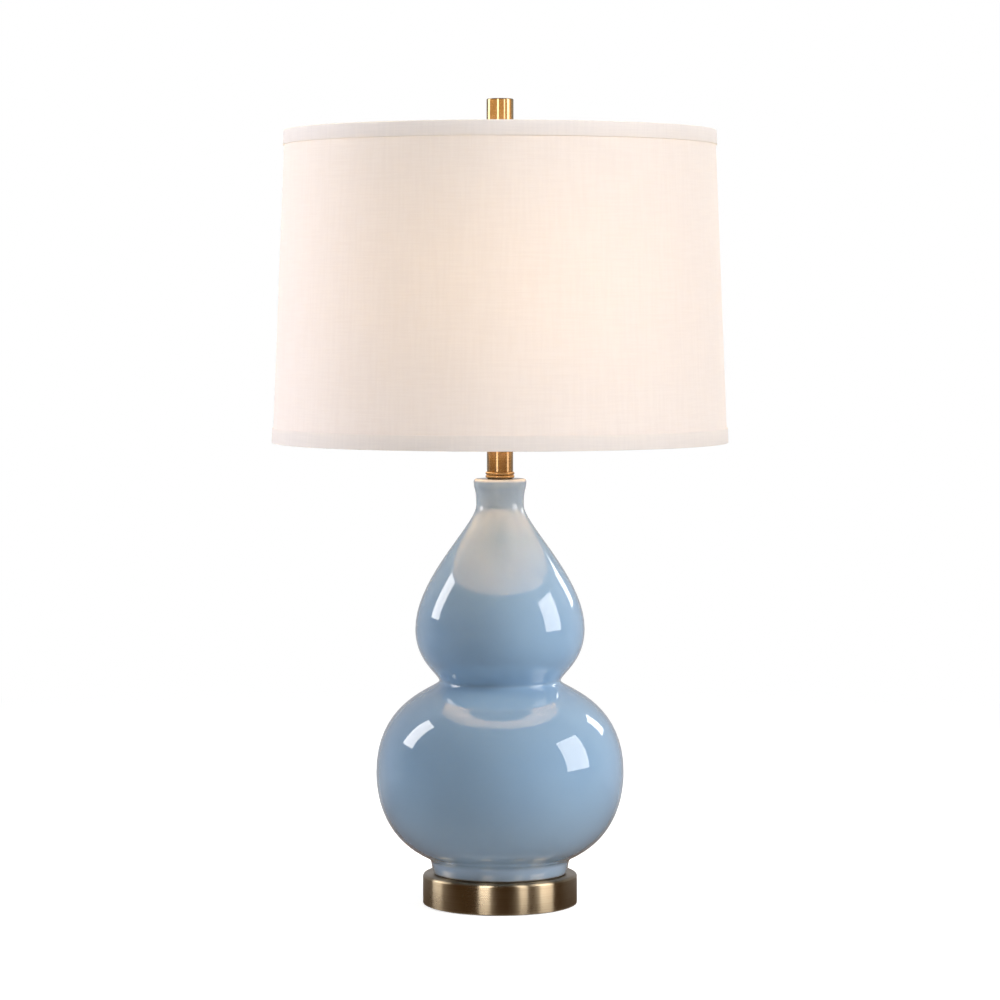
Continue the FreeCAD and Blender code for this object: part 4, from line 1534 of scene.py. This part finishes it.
@dataclass
class Harp:
    """The wire harp with its two sleeves and the swivelling stud."""

    wire_r: float = 1.8
    leg_x: float = 28.5
    leg_z: float = 409.1
    flare_z: float = 425.1
    wide_x: float = 54.0
    wide_z: float = 469.1
    top_z: float = 610.8
    tongue_z: float = 398.2
    tongue_thick: float = 1.6
    tongue_width: float = 5.0
    forged: float = 2.5
    eye_r: float = 7.0
    eye_hole: float = 3.25
    sleeve_low: float = 397.7
    sleeve_high: float = 409.7
    sleeve_half: tuple[float, float] = (2.75, 3.95)  # half widths along x and y
    sleeve_wall: float = 0.7
    sleeve_round: float = 1.6
    head: tuple[float, float, float] = (5.2, 606.9, 608.8)  # radius, bottom, top
    shank: tuple[float, float] = (3.2, 612.8)  # radius, top
    seat: tuple[float, float] = (10.0, 614.8)  # radius, top
    stud_threads: tuple[float, float, float] = (3.1, 2.72, 0.8)  # crest, root, pitch
    stud_crests: int = 14
    stud_top: float = 627.0

    def build(self) -> None:
        """Build and fit the harp's pieces."""
        self.bow()
        for side, name in ((-1, "left"), (1, "right")):
            self.sleeve(side, name)
        self.stud()

    def bow(self) -> None:
        """Bend the wire, forge its ends into tongues and give it its eye."""
        right = [
            (self.leg_x, 0.0, self.leg_z, 0.0),
            (self.leg_x, 0.0, self.flare_z, 14.0),
            (self.wide_x, 0.0, self.wide_z, 30.0),
            (self.wide_x, 0.0, self.top_z, 44.0),
        ]
        left = [(-x, y, z, bend) for x, y, z, bend in reversed(right)]
        bow = bent_wire("harp_bow_bent", right + left, self.wire_r, 14)
        for side in (-1, 1):
            self.tongue(bow, side)
        low, high = self.top_z - self.wire_r, self.top_z + self.wire_r
        bored(bow, self.eye_hole + 1.5, (0, 0, low - 2), (0, 0, high + 2))
        corners = [
            (self.eye_hole, low, 0.3),
            (self.eye_r, low, 1.0),
            (self.eye_r, high, 1.0),
            (self.eye_hole, high, 0.3),
        ]
        bow = joined("harp_bow_bent", bow, turned_ring("eye", corners, 4, 64))
        fit(smooth(bow, 40), "harp", "harp_brass", HARP_BRASS, "harp_bow")

    def tongue(self, bow: Piece, side: int) -> None:
        """Forge an end of the wire into a flat tongue.

        Args:
            bow: The bent wire.
            side: -1 for left and 1 for right.
        """
        middle = side * (self.leg_x + self.tongue_thick / 2)
        squeeze = (self.tongue_thick / 2 / self.wire_r, self.tongue_width / 2 / self.wire_r, 1)
        step = ((middle - side * self.leg_x) * MM, 0, -self.forged * MM)
        down = (0, 0, (self.tongue_z - self.leg_z + self.forged) * MM)
        centre, end_z = (middle * MM, 0, (self.leg_z - self.forged) * MM), self.leg_z + 0.1
        with edit(bow, Pick.FACES):
            select(bow, Pick.FACES, lambda m, n: n.z < -0.9 and m.x * side > 0 and m.z < end_z)
            bpy.ops.mesh.extrude_region_move(TRANSFORM_OT_translate={"value": step})
            bpy.ops.transform.resize(value=squeeze, center_override=centre)
            bpy.ops.mesh.extrude_region_move(TRANSFORM_OT_translate={"value": down})

    def sleeve(self, side: int, name: str) -> None:
        """Draw the oval sleeve over one leg.

        Args:
            side: -1 for left and 1 for right.
            name: left or right.
        """
        x, (reach_x, reach_y) = side * self.leg_x, self.sleeve_half
        low, high = self.sleeve_low, self.sleeve_high
        corners = ((x - reach_x, -reach_y, low), (x + reach_x, reach_y, high))
        sleeve = block(f"sleeve_{name}_drawn", *corners)
        with edit(sleeve, Pick.FACES):
            select(sleeve, Pick.FACES, lambda m, n: abs(n.z) > 0.9)
            bpy.ops.mesh.delete(type="ONLY_FACE")
            bpy.ops.mesh.select_mode(type="EDGE")
            bpy.ops.mesh.select_all(action="DESELECT")
            select(sleeve, Pick.EDGES, lambda m, n: abs(m.z - (low + high) / 2) < 1)
            bpy.ops.mesh.bevel(offset=self.sleeve_round * MM, segments=6, affect="EDGES")
            mend()
        wall = self.sleeve_wall * MM
        shaped(sleeve, "SOLIDIFY", thickness=wall, offset=-1.0, use_even_offset=True)
        eased(sleeve, 0.2)
        fit(smooth(sleeve), f"sleeve_{name}", "harp_brass", HARP_BRASS, f"harp_sleeve_{name}")

    def stud(self) -> None:
        """Turn the riveted head, shank, seat plate and threaded end."""
        (head_r, foot, neck), (shank_r, under), (seat_r, top) = self.head, self.shank, self.seat
        crest_r, root_r, pitch = self.stud_threads
        corners = [
            (0, foot, 0),
            (head_r, foot, 0.9),
            (head_r, neck, 0.2),
            (shank_r, neck, 0),
            (shank_r, under, 0),
            (seat_r, under, 0.4),
            (seat_r, top, 0.5),
            (2.8, top, 0),
        ]
        crest = top + pitch / 2
        for _ in range(self.stud_crests):
            corners += [(crest_r, crest, 0.06), (root_r, crest + pitch / 2, 0.06)]
            crest += pitch
        corners += [(2.5, self.stud_top, 0.2), (0, self.stud_top, 0)]
        stud = turned("harp_stud_threaded", filleted(corners), fine=2, steps=64)
        fit(smooth(stud, 30), "harp_stud", "harp_brass", HARP_BRASS, "harp_stud")


@dataclass
class Shade:
    """The linen shade on its white wire frame."""

    top_r: float = 176.2
    flare: float = 10.5
    top_z: float = 634.5
    height: float = 254.0
    wire_r: float = 1.75
    arm_r: float = 1.6
    trim_thick: float = 0.7
    band: float = 12.0
    fold: float = 8.0
    fold_depth: float = 5.7
    wall_low: float = 381.3
    wall_high: float = 633.7
    hub_low: float = 615.0
    hub_high: float = 616.8
    hub_r: float = 14.0
    hub_hole: float = 5.6
    top_ring: tuple[float, float] = (172.455, 631.95)  # radius, height
    bottom_ring: tuple[float, float] = (182.745, 383.05)
    arm_turns: tuple[float, float, float] = (90.0, 210.0, 330.0)  # degrees from +X
    notch: tuple[float, float] = (6.6, 11.6)  # depth, height
    notch_r: float = 169.0
    tape_ripple: tuple[float, float] = (0.16, 22.0)  # height, length
    weld_swell: float = 0.12
    weld_x: float = 9.0
    weld_half: float = 3.2
    steps: int = 180

    def build(self) -> None:
        """Build and fit the shade's pieces."""
        self.top_frame()
        ring = self.ring("shade_bottom_wire", *self.bottom_ring)
        fit(smooth(ring, 60), "shade", "white_wire", WHITE_PAINT, "shade_bottom_ring")
        self.liner()
        tapes = [self.tape("top", self.top_z, -1), self.tape("bottom", self.top_z - self.height, 1)]
        self.cloth(tapes)

    def radius(self, z: float) -> float:
        """The radius of the tapes' outer face at a height."""
        return self.top_r + self.flare * (self.top_z - z) / self.height

    def band_of(
        self, name: str, depth: float, thick: float, grow: float = 0.0, lap: Spot = ()
    ) -> Piece:
        """Roll a conical band of sheet.

        Args:
            name: Its name.
            depth: How far its outer face lies inside the tapes' outer face.
            thick: Its thickness.
            grow: How far its ends stop short.
            lap: For a lap alone, its turn and where it starts from +X, in degrees.

        Returns:
            The mesh object.
        """
        low, high = self.wall_low + grow, self.wall_high - grow
        outer_low, outer_high = self.radius(low) - depth, self.radius(high) - depth
        corners = [
            (outer_low - thick, low, 0),
            (outer_low, low, 0),
            (outer_high, high, 0),
            (outer_high - thick, high, 0),
        ]
        if not lap:
            return turned_ring(name, corners, 1, self.steps)
        spindle = Spindle(out=self.outward(lap[1]))
        return turned(name, filleted(corners, True), True, 1, 6, spindle, lap[0])

    def cloth(self, tapes: list[Piece]) -> None:
        """Wrap the linen with its lapped seam at the rear.

        Args:
            tapes: The two tapes, which go with the cloth; not used.
        """
        wrap = self.band_of("linen", 1.0, 0.3)
        lap = self.band_of("lap", 0.72, 0.27, lap=(2.6, 88.7))
        cloth = joined("shade_linen_wrapped", wrap, lap)
        fit(smooth(cloth, 40), "shade", "shade_linen", SHADE_LINEN, "shade_fabric")

    def liner(self) -> None:
        """Roll the lining sheet with its lap inside."""
        sheet = self.band_of("sheet", 1.4, 0.6)
        lap = self.band_of("lap", 2.0, 0.35, 5.0, (2.4, 88.8))
        liner = joined("shade_liner_rolled", sheet, lap)
        fit(smooth(liner, 40), "shade", "shade_sheet", SHEETING, "shade_liner")

    def tape(self, name: str, edge: float, inward: int) -> Piece:
        """Fold a tape over an edge of the shade.

        Args:
            name: top or bottom.
            edge: The edge's height.
            inward: -1 at the top edge and 1 at the bottom.

        Returns:
            The tape.
        """
        thick, web = self.trim_thick, edge + inward * self.trim_thick
        band, fold = edge + inward * self.band, edge + inward * self.fold
        inner = self.fold_depth + thick
        corners = [
            (self.radius(edge), edge, 0.55),
            (self.radius(band), band, 0.25),
            (self.radius(band) - thick, band, 0.2),
            (self.radius(web) - thick, web, 0),
            (self.radius(web) - self.fold_depth, web, 0),
            (self.radius(fold) - self.fold_depth, fold, 0.2),
            (self.radius(fold) - inner, fold, 0.25),
            (self.radius(edge) - inner, edge, 0.55),
        ]
        tape = turned_ring(f"shade_{name}_tape", corners, 3, self.steps)
        rippled(tape, *self.tape_ripple)
        if inward < 0:
            self.notched(tape)
        return fit(smooth(tape, 40), "shade", "trim_linen", TAPE_LINEN, f"shade_{name}_trim")

    def notched(self, tape: Piece) -> None:
        """Notch the tape's inside where the arms reach the ring.

        Args:
            tape: The top tape.
        """
        deep, tall = self.notch
        for turn in self.arm_turns:
            middle = self.outward(turn) * self.notch_r * MM
            notch = added(
                bpy.ops.mesh.primitive_cube_add,
                "notch",
                size=1,
                location=(middle.x, middle.y, (self.wall_high - tall / 2) * MM),
                rotation=(0, 0, math.radians(turn)),
                scale=(deep * MM, 2 * (self.arm_r + 0.4) * MM, tall * MM),
            )
            cut(tape, notch)

    def outward(self, turn: float) -> Vector:
        """The direction outward at a turn from +X, in degrees."""
        return Vector((math.cos(math.radians(turn)), math.sin(math.radians(turn)), 0))

    def ring(self, name: str, radius: float, z: float) -> Piece:
        """Bend a wire ring and fatten it where its ends are welded, at the rear.

        Args:
            name: Its name.
            radius: The radius of its centre line.
            z: Its height.

        Returns:
            The mesh object.
        """
        ring = added(
            bpy.ops.mesh.primitive_torus_add,
            name,
            major_radius=radius * MM,
            minor_radius=self.wire_r * MM,
            major_segments=self.steps,
            minor_segments=14,
            location=(0, 0, z * MM),
        )
        with edit(ring, Pick.VERTS):
            x, half = self.weld_x, self.weld_half
            select(ring, Pick.VERTS, lambda m, n: m.y > 0 and abs(m.x - x) < half)
            bpy.ops.transform.shrink_fatten(value=self.weld_swell * MM)
        return ring

    def top_frame(self) -> None:
        """Bend the upper ring and the three arms and weld them to the hub."""
        ring_r, ring_z = self.top_ring
        level = (self.hub_low + self.hub_high) / 2
        corners = [
            (self.hub_hole, self.hub_low, 0.2),
            (self.hub_r, self.hub_low, 0.5),
            (self.hub_r, self.hub_high, 0.5),
            (self.hub_hole, self.hub_high, 0.2),
        ]
        parts = [self.ring("wire", ring_r, ring_z), turned_ring("hub", corners, 4, 72)]
        route = [(12.0, level, 0.0), (30.0, level, 60.0), (ring_r, ring_z, 0.0)]
        for turn in self.arm_turns:
            way = self.outward(turn)
            spots = [(way.x * r, way.y * r, z, bend) for r, z, bend in route]
            parts.append(bent_wire("arm", spots, self.arm_r, 16))
            parts.append(self.weld(way, self.hub_r - 0.6, level, 2.3))
            parts.append(self.weld(way, ring_r - 1.2, ring_z - 0.3, 2.1))
        wires = joined("shade_top_wires", *parts)
        fit(smooth(wires, 50), "shade", "white_wire", WHITE_PAINT, "shade_top_frame")

    def weld(self, way: Vector, r: float, z: float, size: float) -> Piece:
        """A small uneven bead of weld.

        Args:
            way: The direction outward.
            r: Its distance from the axis.
            z: Its height.
            size: Its half width.

        Returns:
            The mesh object.
        """
        spot = way * r
        bead = added(
            bpy.ops.mesh.primitive_ico_sphere_add,
            "weld",
            subdivisions=3,
            radius=MM,
            location=(spot.x * MM, spot.y * MM, z * MM),
            rotation=(0, 0, math.atan2(way.y, way.x)),
            scale=(size, size * 0.95, size * 0.72),
        )
        return rippled(bead, 0.3, 1.5)


@dataclass
class Finial:
    """The brass finial that holds the shade down."""

    low: float = 617.0
    high: float = 660.4
    bore_r: float = 5.1
    bore_top: float = 633.2
    collar: tuple[float, float] = (9.0, 621.0)  # radius, top
    stem: tuple[float, float] = (7.0, 629.0)
    drum: tuple[float, float] = (11.0, 631.5)

    def build(self) -> None:
        """Turn and fit the finial."""
        corners = [
            (0, self.bore_top, 0),
            (self.bore_r, self.bore_top, 0),
            (self.bore_r, self.low, 0.2),
            (self.collar[0], self.low, 0.5),
            (*self.collar, 0.6),
            (self.stem[0], self.collar[1], 0.4),
            (*self.stem, 0.4),
            (*self.drum, 0.4),
            (self.drum[0], self.high, 1.0),
            (0, self.high, 0),
        ]
        finial = turned("finial_turned", filleted(corners), fine=5)
        fit(smooth(finial), "finial", "neck_brass", FINIAL_BRASS, "finial_knob")
        coat(ZINC_STEEL, "finial_insert")


def linked(lamp: Piece, names: Sequence[str], state: str) -> None:
    """Let a lamp light only some pieces, or keep it off them.

    Args:
        lamp: The lamp.
        names: The pieces' names.
        state: INCLUDE or EXCLUDE.
    """
    if not names:
        return
    chosen = bpy.data.collections.new(f"{lamp.name}_lights")
    for name in names:
        chosen.objects.link(bpy.data.objects[name])
    lamp.light_linking.receiver_collection = chosen
    for entry in chosen.collection_objects:
        entry.light_linking.link_state = state


@dataclass
class Softbox:
    """A rectangular lamp that faces the object."""

    name: str
    turn: float
    rise: float
    distance: float
    width: float
    height: float
    radiance: float
    colour: Colour = WHITE
    aim_z: float = 0.3
    in_gloss: bool = True
    in_matt: bool = True
    only: tuple[str, ...] = ()
    never: tuple[str, ...] = ()

    def build(self) -> None:
        """Hang the lamp at its turn and rise in degrees, seen from its aim."""
        turn, rise = math.radians(self.turn), math.radians(self.rise)
        level = math.cos(rise)
        way = Vector((math.sin(turn) * level, -math.cos(turn) * level, math.sin(rise)))
        aim = Vector((0, 0, self.aim_z))
        lamp = added(
            bpy.ops.object.light_add,
            self.name,
            type="AREA",
            location=aim + way * self.distance,
            rotation=way.to_track_quat("Z", "Y").to_euler(),
        )
        lamp.data.shape = "RECTANGLE"
        lamp.data.size, lamp.data.size_y = self.width, self.height
        lamp.data.color = self.colour
        lamp.data.energy = self.radiance * math.pi * self.width * self.height
        lamp.visible_camera = False
        lamp.visible_glossy = self.in_gloss
        lamp.visible_diffuse = self.in_matt
        linked(lamp, self.only, "INCLUDE")
        linked(lamp, self.never, "EXCLUDE")


@dataclass
class Studio:
    """The pale floor, the white surround, the lamps and the camera, in metres."""

    floor_size: float = 60.0
    floor_z: float = -0.0002
    floor_tone: Colour = (0.86, 0.86, 0.86)
    floor_lift: float = 0.68
    floor_fade: tuple[float, float] = (0.45, 1.6)
    ambient: float = 0.24
    matt_white: float = 0.3
    screen_light: Colour = (0.15, 0.095, 0.050)
    screen_dark: Colour = (0.10, 0.062, 0.034)
    screen_rear: Colour = (0.40, 0.40, 0.41)
    screen_r: float = 3.6
    screen_height: float = 5.0
    screen_z: float = 1.6
    hollow_r: float = 0.0642
    warm_white: Colour = (1.0, 0.96, 0.94)
    card_colour: Colour = (1.0, 0.60, 0.26)
    bulb_z: float = 0.506
    bulb_power: float = 2.3
    bulb_size: float = 0.027
    bulb_colour: Colour = (1.0, 0.67, 0.38)
    camera_distance: float = 2.87
    camera_height: float = 0.494
    camera_pitch: float = 3.21
    lens: float = 126.25
    sensor: float = 36.0
    gourd: tuple[str, ...] = ("gourd_glazed",)
    neck: tuple[str, ...] = ("neck_beads", "neck_tube_turned")
    finial: tuple[str, ...] = ("finial_turned",)
    tapes: tuple[str, ...] = ("shade_top_tape", "shade_bottom_tape")

    def build(self) -> None:
        """Set up everything round the lamp."""
        self.floor()
        self.surround()
        self.screen()
        self.lamps()
        self.filament_light()
        self.camera()
        bpy.context.scene.view_settings.view_transform = "Standard"

    def floor(self) -> None:
        """Lay the floor, white to the eye but shaded under the lamp."""
        size, location = self.floor_size, (0, 0, self.floor_z)
        plane = bpy.ops.mesh.primitive_plane_add
        floor = added(plane, "studio_floor", size=size, location=location)
        g = Graph("studio_floor")
        seen = g.seen()
        radius = g.add("ShaderNodeVectorMath", {0: g.place}, operation="LENGTH").outputs["Value"]
        far = g.ranged(radius, *self.floor_fade)
        card = g.out("ShaderNodeBsdfDiffuse", {"Color": self.floor_tone})
        glow = g.calc("MULTIPLY", seen, self.floor_lift)
        lift = g.out("ShaderNodeEmission", {"Strength": glow})
        near = g.out("ShaderNodeAddShader", {0: card, 1: lift})
        level = g.ranged(seen, 0.0, 1.0, self.matt_white, 1.0)
        white = g.out("ShaderNodeEmission", {"Strength": level})
        floor.data.materials.append(g.done(g.open_behind(g.blend(far, near, white))))

    def surround(self) -> None:
        """Make the world white to the eye and a low even light to the object."""
        g = Graph("studio", "World")
        level = g.ranged(g.seen(), 0.0, 1.0, self.ambient, 1.0)
        sky = g.out("ShaderNodeBackground", {"Color": WHITE, "Strength": level})
        bpy.context.scene.world = g.done(sky)

    def screen(self) -> None:
        """Stand a dark screen, card and lid round the set, seen by gloss alone."""
        screen = added(
            bpy.ops.mesh.primitive_cylinder_add,
            "dark_screen",
            vertices=96,
            radius=self.screen_r,
            depth=self.screen_height,
            location=(0, 0, self.screen_z),
            end_fill_type="NOTHING",
        )
        far, top = self.screen_r / MM, (self.screen_z + self.screen_height / 2) / MM
        card = turned("dark_card", [stop(self.hollow_r / MM, 0.1), stop(far, 0.1)])
        lid = turned("dark_lid", [stop(0, top), stop(far, top)])
        for piece, start, end in ((screen, 0.4, 2.0), (card, 0.0, 0.45), (lid, 0.4, 2.0)):
            g = Graph(piece.name)
            mottle = g.ranged(g.noise(0.7), 0.3, 0.7)
            tone = g.mix(mottle, self.screen_light, self.screen_dark)
            tone = g.mix(g.ranged(g.split()[1], start, end), tone, self.screen_rear)
            glow = g.out("ShaderNodeEmission", {"Color": tone, "Strength": 1.0})
            piece.data.materials.append(g.done(glow))
            piece.visible_camera = piece.visible_diffuse = piece.visible_shadow = False
            piece.visible_transmission = False

    def lamps(self) -> None:
        """Hang the softboxes of the glaze, the brass, the matt pieces and the shade.

        A row's numbers are its turn, rise, distance, width, height and radiance.
        """
        shade = self.tapes + ("shade_linen_wrapped",)
        others = self.gourd + self.neck + self.finial + shade + ("shade_liner_rolled",)
        glaze = {"in_matt": False, "only": self.gourd}
        low = glaze | {"aim_z": 0.19}
        panel = {"in_matt": False, "never": others}
        matt = {"in_gloss": False, "never": shade}
        cloth = {"in_gloss": False, "only": shade, "aim_z": 0.5}
        tape = {"in_gloss": False, "only": self.tapes[:1], "aim_z": 0.6}
        self.hang(
            (low, "right_box", 77, 17.5, 1.8, 0.86, 1.05, 3.7, self.warm_white),
            (glaze, "left_box", -99, 19, 0.68, 0.20, 0.38, 4.5, self.warm_white),
            (low, "rear_strip", 129, 21, 1.10, 0.20, 0.30, 4.0),
            (panel, "left_side_panel", -107, 25, 1.5, 0.66, 2.0, 4.7),
            (panel, "left_front_panel", -23, 25, 1.5, 0.46, 2.0, 6.6),
            (panel, "right_front_panel", 35, 25, 1.5, 0.36, 2.0, 5.4),
            (panel, "right_side_panel", 73, 25, 1.5, 0.70, 2.0, 7.0),
        )
        bars = ((-110, 0.60, 3.4), (-18, 0.36, 3.2), (39, 0.30, 2.2), (76, 0.62, 3.4))
        self.strips("finial", self.finial, 0.64, 0.85, bars)
        self.strips("neck", self.neck, 0.37, 0.40, ((-25, 0.36, 4.2), (74, 0.50, 2.4)))
        self.hang(
            (matt, "key", 68, 24, 2.6, 1.6, 1.6, 7.9, (1.0, 0.98, 0.96)),
            (matt, "left_fill", -104, 14, 2.4, 1.2, 1.6, 4.9, (0.92, 0.95, 1.0)),
            (cloth, "shade_left", -110, 12, 2.4, 1.2, 1.6, 8.3, (0.94, 0.94, 1.0)),
            (cloth, "shade_front", -18, 15, 2.6, 1.6, 1.6, 3.2),
            (cloth, "shade_right", 64, 20, 2.6, 1.6, 1.6, 5.2),
            (cloth, "shade_back", 150, 15, 2.6, 1.6, 1.6, 4.4),
            (tape, "tape_top", 0, 84, 2.4, 1.2, 1.2, 6.0),
        )

    def hang(self, *rows: tuple) -> None:
        """Hang softboxes.

        Args:
            rows: Each softbox's named settings, followed by its other values in order.
        """
        for settings, *values in rows:
            Softbox(*values, **settings).build()

    def strips(
        self, name: str, only: tuple[str, ...], z: float, level: float, bars: Sequence[Spot]
    ) -> None:
        """Hang warm cards and bright bars that one small turned part alone shows.

        Args:
            name: What the lamps are called after.
            only: The pieces that show them.
            z: The part's height in metres.
            level: How bright the cards are.
            bars: Each bar's turn, width and radiance.
        """
        look = {"in_matt": False, "only": only, "aim_z": z}
        for index, turn in enumerate((-75, 0, 75)):
            card = (f"{name}_card_{index}", turn, 0, 1.6, 2.46, 2.0, level, self.card_colour)
            self.hang((look, *card))
        for index, (turn, width, radiance) in enumerate(bars):
            self.hang((look, f"{name}_bar_{index}", turn, 0, 1.5, width, 3.0, radiance))

    def filament_light(self) -> None:
        """Light the shade from within the bulb, whose glass lets this light past."""
        location = (0, 0, self.bulb_z)
        lamp = added(bpy.ops.object.light_add, "bulb_light", type="POINT", location=location)
        lamp.data.shadow_soft_size = self.bulb_size
        lamp.data.color, lamp.data.energy = self.bulb_colour, self.bulb_power
        lamp.visible_camera = False
        linked(lamp, self.gourd + self.neck, "EXCLUDE")
        bpy.data.objects["bulb_glass_blown"].visible_shadow = False

    def camera(self) -> None:
        """Set the camera at the photograph's angle."""
        camera = added(
            bpy.ops.object.camera_add,
            "studio_camera",
            location=(0, -self.camera_distance, self.camera_height),
            rotation=(math.radians(90 - self.camera_pitch), 0, 0),
        )
        camera.data.sensor_width, camera.data.lens = self.sensor, self.lens
        bpy.context.scene.camera = camera


def main() -> None:
    """Build the lamp from its base up, then the studio."""
    for kind in (Base, Gourd, Neck, LampSocket, Bulb, Harp, Shade, Finial, Studio):
        log.info("building %s", kind.__name__)
        kind().build()


if __name__ == "__main__":
    main()
    bpy.context.view_layer.update()
